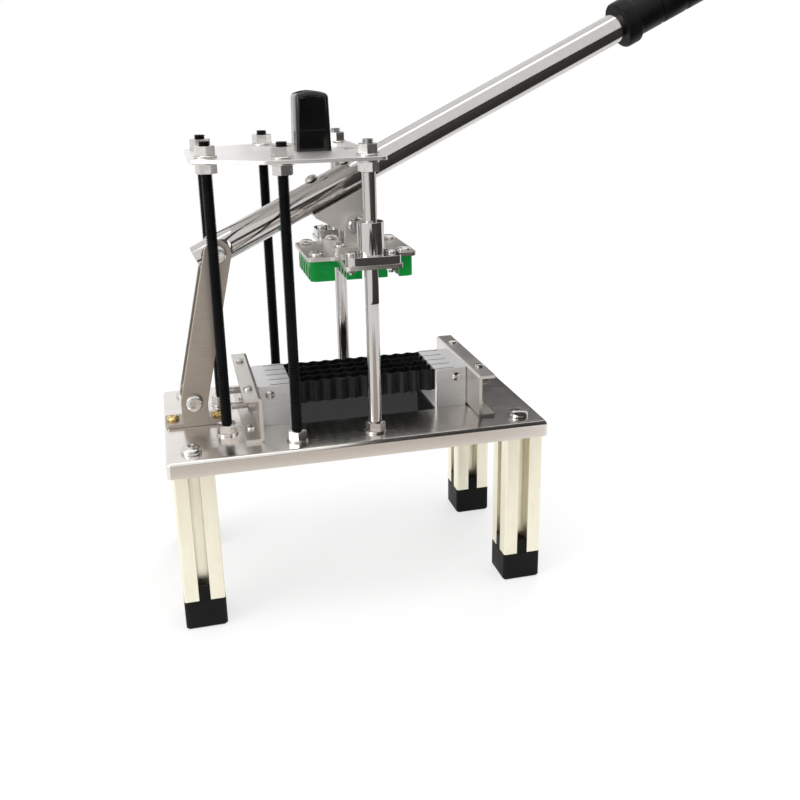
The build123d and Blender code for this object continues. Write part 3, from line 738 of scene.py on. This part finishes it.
washer_levels = (tray_under - washer_sheet, tray_top, top_low.z - washer_sheet, top_high.z)
washer_places = [at(post.x, post.y, level) for post in posts for level in washer_levels]
washer_bore = 3.6 * MM
washer_radius = 8 * MM
washer_edge = 0.25 * MM
washer = spun(
    [
        (washer_bore, 0),
        (washer_radius - washer_edge, 0),
        (washer_radius, washer_edge),
        (washer_radius, washer_sheet - washer_edge),
        (washer_radius - washer_edge, washer_sheet),
        (washer_bore, washer_sheet),
        (washer_bore, 0),
    ],
    DISC_STEPS,
)
dress("post_washers_stamped", joined([(washer, washer_places)]), "post_washers")

# Sheet pieces and blocks keep the form of their solids, with edges eased by a width
softened("base_plate", width=0.3 * MM, material=tray_mirror)
softened("top_plate", width=0.4 * MM, material=pale_sheet)
for node, ease in {
    "head_plate": 0.4,
    "rail_left": 0.4,
    "rail_right": 0.4,
    "carrier_left": 0.3,
    "carrier_right": 0.3,
    "pusher": 0.6,
    "link_front": 0.5,
    "link_rear": 0.5,
    "pivot_bracket": 0.5,
    "bushing_front": 0.5,
    "bushing_rear": 0.5,
}.items():
    softened(node, width=ease * MM)
for node in ("lever_bracket", "head_clevis"):
    softened(node, width=0.5 * MM, material=pale_steel)
tray_corners = ("front_left", "front_right", "rear_left", "rear_right")
for corner in tray_corners:
    softened(f"leg_{corner}", width=0.3 * MM)
    softened(f"foot_{corner}", width=0.6 * MM)

# Chute under the outlet: thin black walls that hang from a flange against the tray's underside. Their black is
# painted shade, a dark sheet that darkens the view through the outlet under the blades.
carrier_left_low, carrier_left_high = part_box("carrier_left")
carrier_right_low, carrier_right_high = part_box("carrier_right")
outlet_half_length = (carrier_right_low.x - carrier_left_high.x) / 2
outlet_half_width = 29 * MM
chute_gap = 0.2 * MM
chute_corner = 4 * MM
chute_corner_steps = 5
chute_flange = 5 * MM
chute_drop = 22 * MM
chute_wall = 1.5 * MM
chute_ease = 0.4 * MM
chute_half = (outlet_half_length + chute_gap, outlet_half_width + chute_gap)
chute = bmesh.new()
chute.faces.new(
    [chute.verts.new((x * chute_half[0], y * chute_half[1], 0)) for x, y in SQUARE]
)
bmesh.ops.bevel(
    chute,
    geom=chute.verts[:],
    offset=chute_corner,
    segments=chute_corner_steps,
    profile=0.5,
    affect="VERTICES",
    material=-1,
)
chute_rim = chute.edges[:]
bmesh.ops.delete(chute, geom=chute.faces[:], context="FACES_ONLY")
for drop, widen in ((0, chute_flange), (chute_drop, 0)):
    for point in new_points(bmesh.ops.extrude_edge_only(chute, edges=chute_rim)):
        point.co.x += math.copysign(widen, point.co.x)
        point.co.y += math.copysign(widen, point.co.y)
        point.co.z -= drop
bmesh.ops.recalc_face_normals(chute, faces=chute.faces)
bmesh.ops.solidify(chute, geom=chute.faces[:], thickness=chute_wall)
clean(chute)
chute_spot = ((carrier_left_high.x + carrier_right_low.x) / 2, 0, tray_under)
bmesh.ops.translate(chute, verts=chute.verts, vec=chute_spot)
# the black walls of this chute are painted shade under the blades
ease_edges(piece_on("base", "outlet_chute_painted_shade", chute, "black_plastic"), chute_ease)


# Top cap: a leaning block with an arched crown, eased edges and a sunk front panel
LOOKS_FORWARD = -0.9


def front_of(shape):
    """The largest face that looks forward."""
    forward = [face for face in shape.faces if face.normal.y < LOOKS_FORWARD]
    return max(forward, key=lambda face: face.calc_area())


cap_low, cap_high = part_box("top_cap")
cap_half = (cap_high - cap_low) / 2
cap_height = cap_high.z - cap_low.z
cap_lean = 1 * MM
cap_arch = 2.6 * MM
cap_arch_steps = 12
cap_ease = 2.4 * MM
cap_ease_steps = 4
panel_foot = 14 * MM
panel_margin = 0.8 * MM
panel_slope = 0.9 * MM
cap_corners = [(-cap_half.x, 0), (cap_half.x, 0)]
for step in range(cap_arch_steps + 1):
    across = 1 - 2 * step / cap_arch_steps
    cap_corners.append(
        (across * (cap_half.x - cap_lean), cap_height - cap_arch * across ** 2)
    )
cap = bmesh.new()
cap_front = cap.faces.new([cap.verts.new((x, -cap_half.y, z)) for x, z in cap_corners])
far_points = new_points(bmesh.ops.extrude_face_region(cap, geom=[cap_front]))
bmesh.ops.translate(cap, verts=far_points, vec=(0, 2 * cap_half.y, 0))
for point in cap.verts:
    point.co.y *= 1 - cap_lean / cap_half.y * point.co.z / cap_height
bmesh.ops.recalc_face_normals(cap, faces=cap.faces)
cap_edges = [
    edge
    for edge in cap.edges
    if max(point.co.z for point in edge.verts) > 0 and edge.calc_face_angle(0) > SHARP_ANGLE
]
bmesh.ops.bevel(
    cap,
    geom=cap_edges,
    offset=cap_ease,
    segments=cap_ease_steps,
    profile=0.5,
    affect="EDGES",
    material=-1,
)
cap.normal_update()
cap_front = front_of(cap)
bmesh.ops.bisect_plane(
    cap,
    geom=[cap_front] + cap_front.edges[:] + cap_front.verts[:],
    plane_co=(0, 0, panel_foot),
    plane_no=UP,
)
panel = front_of(cap)
bmesh.ops.inset_region(cap, faces=[panel], thickness=panel_margin)
bmesh.ops.inset_region(cap, faces=[panel], thickness=panel_slope, depth=-panel_slope)
cap_centre = middle("top_cap")
bmesh.ops.translate(cap, verts=cap.verts, vec=cap_centre - UP * cap_half.z)
dress("top_cap_finished", cap, "top_cap")

# Blades with a smooth wave between two flat tangs
blade_count = 5
blade_steps = (292, 2)
blade_waves = 11
wave_length = 10 * MM
wave_rise = 1.25 * MM
wave_start = 0.5
blade_thick = 0.8 * MM
for number in range(1, blade_count + 1):
    low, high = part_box(f"blade_{number}")
    centre = (low + high) / 2
    shape = bmesh.new()
    bmesh.ops.create_grid(
        shape, x_segments=blade_steps[0], y_segments=blade_steps[1], size=0.5
    )
    for point in shape.verts:
        x = centre.x + point.co.x * (high.x - low.x)
        waves = (x - centre.x) / wave_length
        wavy = abs(waves) < blade_waves / 2
        rise = math.sin(FULL_TURN * (waves + wave_start)) * wave_rise if wavy else 0.0
        point.co = (x, centre.y + rise, centre.z + point.co.y * (high.z - low.z))
    bmesh.ops.recalc_face_normals(shape, faces=shape.faces)
    bmesh.ops.solidify(shape, geom=shape.faces[:], thickness=blade_thick)
    reach = [point.co.y for point in shape.verts]
    back_to_middle = centre.y - (min(reach) + max(reach)) / 2
    bmesh.ops.translate(shape, verts=shape.verts, vec=(0, back_to_middle, 0))
    clean(shape)
    dress(f"blade_{number}_wavy", shape, f"blade_{number}")

# Lever tube, measured along its axis from the bolt at its tail, with a slot for that bolt
tube_low, tube_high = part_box("lever_tube")
joint_at = {joint["name"]: joint for joint in frame["joints"]}
pin = Vector(joint_at["lever_pivot"]["pos_m"])
lever_lean = math.radians(26)
lever_run = Vector((math.cos(lever_lean), 0, math.sin(lever_lean)))
lever_up = Vector((-math.sin(lever_lean), 0, math.cos(lever_lean)))
pin_reach = 99.8 * MM
pin_drop = 32.6 * MM
tail = pin - lever_run * pin_reach + lever_up * pin_drop
lever_place = Matrix.Translation(tail) @ Matrix(
    (
        (lever_up.x, 0, lever_run.x, 0),
        (0, -1, 0, 0),
        (lever_up.z, 0, lever_run.z, 0),
        (0, 0, 0, 1),
    )
)
tube_radius = (tube_high.y - tube_low.y) / 2
tube_wall = 1.5 * MM
tube_tail = 16 * MM
tube_end = 472 * MM
tube_ease = 0.4 * MM
slot_length = 24 * MM
slot_height = 14.4 * MM
tube = spun(
    [
        (tube_radius - tube_wall, -tube_tail),
        (tube_radius - tube_ease, -tube_tail),
        (tube_radius, tube_ease - tube_tail),
        (tube_radius, tube_end),
        (tube_radius - tube_wall, tube_end),
        (tube_radius - tube_wall, -tube_tail),
    ],
    TUBE_STEPS,
)
slot = bmesh.new()
bmesh.ops.create_cone(
    slot,
    cap_ends=True,
    segments=DISC_STEPS,
    radius1=slot_height / 2,
    radius2=slot_height / 2,
    depth=4 * tube_radius,
)
for point in slot.verts:
    point.co.y += math.copysign((slot_length - slot_height) / 2, point.co.y)
slot_turn = Matrix.Rotation(RIGHT_ANGLE, 3, "X")
bmesh.ops.rotate(slot, verts=slot.verts, cent=(0, 0, 0), matrix=slot_turn)
tube = minus(tube, slot)
bmesh.ops.transform(tube, matrix=lever_place, verts=tube.verts)
dress("lever_tube_polished", tube, "lever_tube")

# Grip: a bore for the tube, a rounded collar, rings between soft grooves and a rounded nose
grip_start = 352 * MM
grip_end = 477 * MM
grip_play = 0.05 * MM
grip_bore = tube_radius + grip_play
grip_collar = 17.5 * MM
collar_length = 13 * MM
collar_lip = 2.5 * MM
collar_foot_rise = 0.4 * MM
collar_foot_run = 0.5 * MM
grip_radius = 14.5 * MM
grip_rings = 5
groove_depth = 1.6 * MM
groove_half = 2.0 * MM
nose_round = 4 * MM
nose_radius = grip_radius - groove_depth
ring_start = grip_start + collar_length
ring_length = (grip_end - nose_round - ring_start) / grip_rings
outline = [(0, tube_end), (grip_bore, tube_end), (grip_bore, grip_start)]
for angle in quarter_arc(ARC_STEPS):
    inset = collar_lip * (1 - math.sin(angle))
    outline.append((grip_collar - inset, grip_start + collar_lip * (1 - math.cos(angle))))
for angle in quarter_arc(ARC_STEPS):
    inset = collar_lip * (1 - math.cos(angle))
    outline.append((grip_collar - inset, ring_start - collar_lip * (1 - math.sin(angle))))
outline.append((grip_radius + collar_foot_rise, ring_start))
outline.append((grip_radius, ring_start + collar_foot_run))
for ring in range(1, grip_rings):
    for step in range(-ARC_STEPS, ARC_STEPS + 1):
        share = step / ARC_STEPS
        dip = groove_depth * math.cos(share * RIGHT_ANGLE) ** 2
        along = ring_start + ring * ring_length + share * groove_half
        outline.append((grip_radius - dip, along))
for angle in quarter_arc(ARC_STEPS):
    inset = nose_round * (1 - math.cos(angle))
    outline.append((nose_radius - inset, grip_end - nose_round * (1 - math.sin(angle))))
outline.append((0, grip_end))
grip = spun(outline)
bmesh.ops.transform(grip, matrix=lever_place, verts=grip.verts)
dress("grip_ribbed", grip, "grip")

# Screws that hold the legs
leg_bite = 18 * MM
leg_middles = [middle(f"leg_{corner}") for corner in tray_corners]
leg_places = [at(spot.x, spot.y, tray_top) for spot in leg_middles]
screws("leg_screws_pan", pan_screw(8, leg_bite, nut=False), leg_places, "leg_screws")


# Screws of the head and the rails, four each round the axis of the press

def four_spots(half_x, half_y):
    """Four spots (x, y) round the axis of the press."""
    return [(pin.x + x, y) for x in (-half_x, half_x) for y in (-half_y, half_y)]


head_low, head_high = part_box("head_plate")
pusher_head = (5.5 * MM, 3.6 * MM)
pusher_bite = 7.4 * MM
pusher_spots = four_spots(half_x=33 * MM, half_y=25 * MM)
pusher_places = [at(x, y, head_high.z) for x, y in pusher_spots]
pusher_screw = pan_screw(5, pusher_bite, nut=False, head=pusher_head)
screws("pusher_screws_pan", pusher_screw, pusher_places, "pusher_screws")

clevis_sheet = 4 * MM
clevis_face = head_high.z + clevis_sheet
clevis_bite = 11.4 * MM
clevis_spots = four_spots(half_x=14 * MM, half_y=18.5 * MM)
clevis_places = [at(x, y, clevis_face) for x, y in clevis_spots]
clevis_screw = pan_screw(5, clevis_bite, nut=False)
screws("clevis_screws_pan", clevis_screw, clevis_places, "clevis_screws")

bushing_low, bushing_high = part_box("bushing_front")
bushing_out = -(bushing_low.y + bushing_high.y) / 2
bushing_flange = 6 * MM
flange_face = head_high.z + bushing_flange
bushing_spots = four_spots(half_x=14.5 * MM, half_y=bushing_out)
bushing_places = [at(x, y, flange_face) for x, y in bushing_spots]
bushing_screw = pan_screw(4, flange_face - head_low.z)
screws("bushing_screws_pan", bushing_screw, bushing_places, "bushing_screws")

rail_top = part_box("rail_right")[1].z
rail_sheet = 2.5 * MM
rail_spots = four_spots(half_x=90.75 * MM, half_y=35 * MM)
upper_screw = pan_screw(4, rail_sheet)
lower_screw = pan_screw(4, rail_sheet + tray_sheet)
rail_whole = joined(
    [
        (upper_screw, turned([at(x, y, rail_top) for x, y in rail_spots])),
        (lower_screw, turned([at(x, y, tray_top + rail_sheet) for x, y in rail_spots])),
    ]
)
dress("rail_screws_pan", rail_whole, "rail_screws")

# Cross screws through the carriers, screws under the top cap, and the studs that pull the blades
cross_out = 74 * MM
cross_rise = 25 * MM
cross_level = tray_top + cross_rise
carrier_depth = carrier_left_high.y - carrier_left_low.y
cross_places = [
    facing(pin.x + side * cross_out, carrier_left_low.y, cross_level, (0, -1, 0))
    for side in (-1, 1)
]
screws("carrier_screws_pan", pan_screw(4, carrier_depth), cross_places, "carrier_screws")

cap_screw_out = 8 * MM
cap_bite = 12.4 * MM
cap_places = [
    facing(cap_centre.x, cap_centre.y + side * cap_screw_out, top_low.z, -UP) for side in (-1, 1)
]
screws("cap_screws_pan", pan_screw(4, cap_bite, nut=False), cap_places, "cap_screws")

stud_rise = 16 * MM
stud_level = tray_top + stud_rise
stud_half = 18 * MM
stud_out = 20 * MM
stud_length = 32 * MM
stud_places = []
stud_nut_places = []
for side, outer in ((-1, carrier_left_low.x), (1, carrier_right_high.x)):
    for y in (-stud_half, stud_half):
        stud_places.append(facing(outer + side * stud_out, y, stud_level, (side, 0, 0)))
        stud_nut_places.append(facing(outer + side * rail_sheet, y, stud_level, (side, 0, 0)))
screws("tension_studs_cut", shank(6, stud_length), stud_places, "tension_studs")
screws("tension_nuts_cut", hex_nut(*NUT[6]), stud_nut_places, "tension_nuts")

# Screws and bolts of the linkage
pivot = Vector(joint_at["link_swing"]["pos_m"])
bracket_sheet = 3 * MM
bracket_screw_out = 17 * MM
bracket_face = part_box("pivot_bracket")[0].z + bracket_sheet
bracket_places = [at(pivot.x + side * bracket_screw_out, 0, bracket_face) for side in (-1, 1)]
bracket_screw = pan_screw(5, bracket_sheet + tray_sheet)
screws(
    "pivot_bracket_screws_pan", bracket_screw, bracket_places, "pivot_bracket_screws", yellow_zinc
)

bolt_play = 0.3 * MM
bolt_face = -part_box("link_front")[0].y + bolt_play
button_outline = (
    (0, 0), (6.2, 0), (6.5, 0.3), (6.5, 2.2), (6.1, 3.2), (5.2, 3.8), (3.6, 4.0), (0, 4.0)
)
for node, place in (("base_pivot_bolt", pivot), ("link_top_bolt", tail)):
    button = spun([(radius * MM, height * MM) for radius, height in button_outline], DISC_STEPS)
    bolt_place = facing(place.x, -bolt_face, place.z, (0, -1, 0))
    screws(f"{node}_button", bolted(8, button, 2 * bolt_face), [bolt_place], node)

lever_bolt_shift = 1.7 * MM
lever_bolt_half = 14.5 * MM
lever_bracket_sheet = 3 * MM
lever_bolt_places = []
for reach in (-lever_bolt_half, lever_bolt_half):
    foot = tail + lever_run * (pin_reach + lever_bolt_shift + reach) + lever_up * tube_radius
    lever_bolt_places.append(facing(foot.x, 0, foot.z, lever_up))
lever_bolt = pan_screw(5, 2 * tube_radius + lever_bracket_sheet)
screws("lever_bolts_pan", lever_bolt, lever_bolt_places, "lever_bolts")

pin_low, pin_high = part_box("head_pin")
pin_half = (pin_high.y - pin_low.y) / 2
pin_radius = 4 * MM
pin_disc_radius = 6.5 * MM
pin_disc = 3 * MM
pin_ease_in = 1 * MM
pin_ease_down = 0.8 * MM
pin_end = [
    (0, pin_half),
    (pin_disc_radius - pin_ease_in, pin_half),
    (pin_disc_radius, pin_half - pin_ease_down),
    (pin_disc_radius, pin_half - pin_disc),
    (pin_radius, pin_half - pin_disc),
]
pin_outline = [(radius, -height) for radius, height in pin_end] + pin_end[::-1]
pin_shape = spun(pin_outline, DISC_STEPS)
pin_place = facing(pin.x, 0, pin.z, (0, 1, 0))
bmesh.ops.transform(pin_shape, matrix=pin_place, verts=pin_shape.verts)
dress("head_pin_turned", pin_shape, "head_pin")


# Floor, cards, light and camera

def seen_plainly(tree):
    """The mask of rays that look at the background: straight, mirrored or through glass."""
    path = tree.nodes.new("ShaderNodeLightPath")
    seen = path.outputs["Is Camera Ray"]
    for ray in ("Is Glossy Ray", "Is Transmission Ray"):
        either = tree.nodes.new("ShaderNodeMath")
        either.operation = "MAXIMUM"
        tree.links.new(seen, either.inputs[0])
        tree.links.new(path.outputs[ray], either.inputs[1])
        seen = either.outputs[0]
    return seen


def stage_sheet(name, corners, paint):
    """Lay a flat sheet that belongs to the studio and not to the object."""
    shape = bmesh.new()
    shape.faces.new([shape.verts.new(corner) for corner in corners])
    mesh = bpy.data.meshes.new(name)
    shape.to_mesh(mesh)
    shape.free()
    mesh.materials.append(paint)
    thing = bpy.data.objects.new(name, mesh)
    scene.collection.objects.link(thing)
    return thing


FLOOR_REACH = 6.0
FLOOR_COLOUR = (0.9, 0.9, 0.89, 1)
FLOOR_ROUGHNESS = 0.7
# Share of plain white in the floor near the object, and the distances between which it grows to 1
FLOOR_GLOW = 0.68
FLOOR_FADE = (0.5, 1.6)


def floor_paint():
    """A pale floor that keeps the object's shadow and fades to plain white with distance."""
    material = bpy.data.materials.new("white_floor")
    material.use_nodes = True
    tree = material.node_tree
    matt = tree.nodes["Principled BSDF"]
    matt.inputs["Base Color"].default_value = FLOOR_COLOUR
    matt.inputs["Roughness"].default_value = FLOOR_ROUGHNESS
    glow = tree.nodes.new("ShaderNodeEmission")
    glow.inputs["Strength"].default_value = 1.0
    spot_on_floor = tree.nodes.new("ShaderNodeTexCoord")
    away = tree.nodes.new("ShaderNodeVectorMath")
    away.operation = "LENGTH"
    tree.links.new(spot_on_floor.outputs["Object"], away.inputs[0])
    paling = tree.nodes.new("ShaderNodeMapRange")
    paling.inputs["From Min"].default_value = FLOOR_FADE[0]
    paling.inputs["From Max"].default_value = FLOOR_FADE[1]
    paling.inputs["To Min"].default_value = FLOOR_GLOW
    paling.inputs["To Max"].default_value = 1.0
    tree.links.new(away.outputs["Value"], paling.inputs["Value"])
    share = tree.nodes.new("ShaderNodeMath")
    share.operation = "MULTIPLY"
    tree.links.new(seen_plainly(tree), share.inputs[0])
    tree.links.new(paling.outputs["Result"], share.inputs[1])
    mix = tree.nodes.new("ShaderNodeMixShader")
    tree.links.new(share.outputs[0], mix.inputs["Fac"])
    tree.links.new(matt.outputs["BSDF"], mix.inputs[1])
    tree.links.new(glow.outputs["Emission"], mix.inputs[2])
    tree.links.new(mix.outputs["Shader"], tree.nodes["Material Output"].inputs["Surface"])
    return material


stage_sheet("floor", [(x * FLOOR_REACH, y * FLOOR_REACH, 0) for x, y in SQUARE], floor_paint())

CARD_ROUGHNESS = 0.9


def lying(left, right, front, back, level):
    """The corners of a level card."""
    return [(left, front, level), (right, front, level), (right, back, level), (left, back, level)]


def upright(start, end, low, high):
    """The corners of a card that stands between two spots (x, y)."""
    return [(*start, low), (*end, low), (*end, high), (*start, high)]


def toned_card(name, corners, colour):
    """Hang a toned sheet that only mirrors see, so that bright metal has something to show."""
    paint = bpy.data.materials.new(name)
    paint.use_nodes = True
    matt = paint.node_tree.nodes["Principled BSDF"]
    matt.inputs["Base Color"].default_value = colour
    matt.inputs["Roughness"].default_value = CARD_ROUGHNESS
    card = stage_sheet(name, corners, paint)
    card.visible_camera = False
    card.visible_diffuse = False
    card.visible_transmission = False
    card.visible_shadow = False


toned_card("card_behind", upright((-0.1, 0.75), (0.75, 0.75), 0.12, 0.62), grey(0.03))
toned_card("card_low_front", lying(-0.09, 1.2, -1.8, -0.005, 0.235), grey(0.018, 0.2))
toned_card("card_warm_floor", lying(-0.35, 0.2, -0.75, -0.33, 0.012), (0.40, 0.34, 0.29, 1))
toned_card("card_far_front", upright((-0.7, -2.4), (1.6, -2.4), 0.02, 0.62), grey(0.03, 0.1))
toned_card("card_right", upright((0.75, -1.1), (1.0, 0.1), 0.0, 0.9), grey(0.03, 0.1))

AMBIENT_COLOUR = (0.97, 0.98, 1.0, 1)
AMBIENT_STRENGTH = 0.6
world = bpy.data.worlds.new("studio")
scene.world = world
world.use_nodes = True
sky = world.node_tree
ambient = sky.nodes["Background"]
ambient.inputs["Color"].default_value = AMBIENT_COLOUR
ambient.inputs["Strength"].default_value = AMBIENT_STRENGTH
white = sky.nodes.new("ShaderNodeBackground")
white.inputs["Color"].default_value = (1, 1, 1, 1)
white.inputs["Strength"].default_value = 1.0
choose = sky.nodes.new("ShaderNodeMixShader")
sky.links.new(seen_plainly(sky), choose.inputs["Fac"])
sky.links.new(ambient.outputs["Background"], choose.inputs[1])
sky.links.new(white.outputs["Background"], choose.inputs[2])
sky.links.new(choose.outputs["Shader"], sky.nodes["World Output"].inputs["Surface"])


def soft_lamp(name, place, aim, width, power, depth=None, mirrored=True):
    """Hang a soft lamp, square or with a depth of its own, that points at a spot."""
    light = bpy.data.lights.new(name, "AREA")
    light.shape = "RECTANGLE" if depth else "SQUARE"
    light.size = width
    if depth:
        light.size_y = depth
    light.energy = power
    lamp = bpy.data.objects.new(name, light)
    lamp.location = place
    lamp.rotation_euler = (Vector(aim) - Vector(place)).to_track_quat("-Z", "Y").to_euler()
    lamp.visible_glossy = mirrored
    scene.collection.objects.link(lamp)


object_middle = (cad_low + cad_high) / 2
soft_lamp("top_lamp", (-0.3, -0.2, 1.9), object_middle, width=1.6, power=18, mirrored=False)
soft_lamp("strip_lamp", (0.1, -0.15, 1.9), (0.1, -0.15, 0), width=2.4, power=5, depth=0.35)
soft_lamp("left_lamp", (-1.8, -0.9, 1.2), object_middle, width=1.2, power=16)
soft_lamp("back_lamp", (0.9, 1.6, 1.3), object_middle, width=1.4, power=16, mirrored=False)

lens = bpy.data.cameras.new("photo_camera")
lens.sensor_fit = "HORIZONTAL"
lens.sensor_width = SENSOR_WIDTH
lens.lens = SENSOR_WIDTH * CAMERA_FOCUS_PX / PICTURE_PX
lens.shift_x = (PICTURE_PX / 2 - CAMERA_CENTRE_PX[0]) / PICTURE_PX
lens.shift_y = (CAMERA_CENTRE_PX[1] - PICTURE_PX / 2) / PICTURE_PX
lens.clip_start = NEAREST_SEEN
camera = bpy.data.objects.new("photo_camera", lens)
scene.collection.objects.link(camera)
ahead = Vector(
    (
        math.sin(CAMERA_TURN) * math.cos(CAMERA_TILT),
        math.cos(CAMERA_TURN) * math.cos(CAMERA_TILT),
        -math.sin(CAMERA_TILT),
    )
)
level_right = Vector((math.cos(CAMERA_TURN), -math.sin(CAMERA_TURN), 0))
level_up = level_right.cross(ahead)
right = level_right * math.cos(CAMERA_ROLL) + level_up * math.sin(CAMERA_ROLL)
above = level_up * math.cos(CAMERA_ROLL) - level_right * math.sin(CAMERA_ROLL)
spot = Vector((base_low.x, base_low.y, 0)) + CAMERA_FROM_CORNER
camera.matrix_world = Matrix(
    (
        (right.x, above.x, -ahead.x, spot.x),
        (right.y, above.y, -ahead.y, spot.y),
        (right.z, above.z, -ahead.z, spot.z),
        (0, 0, 0, 1),
    )
)
scene.camera = camera
scene.view_settings.view_transform = "Standard"
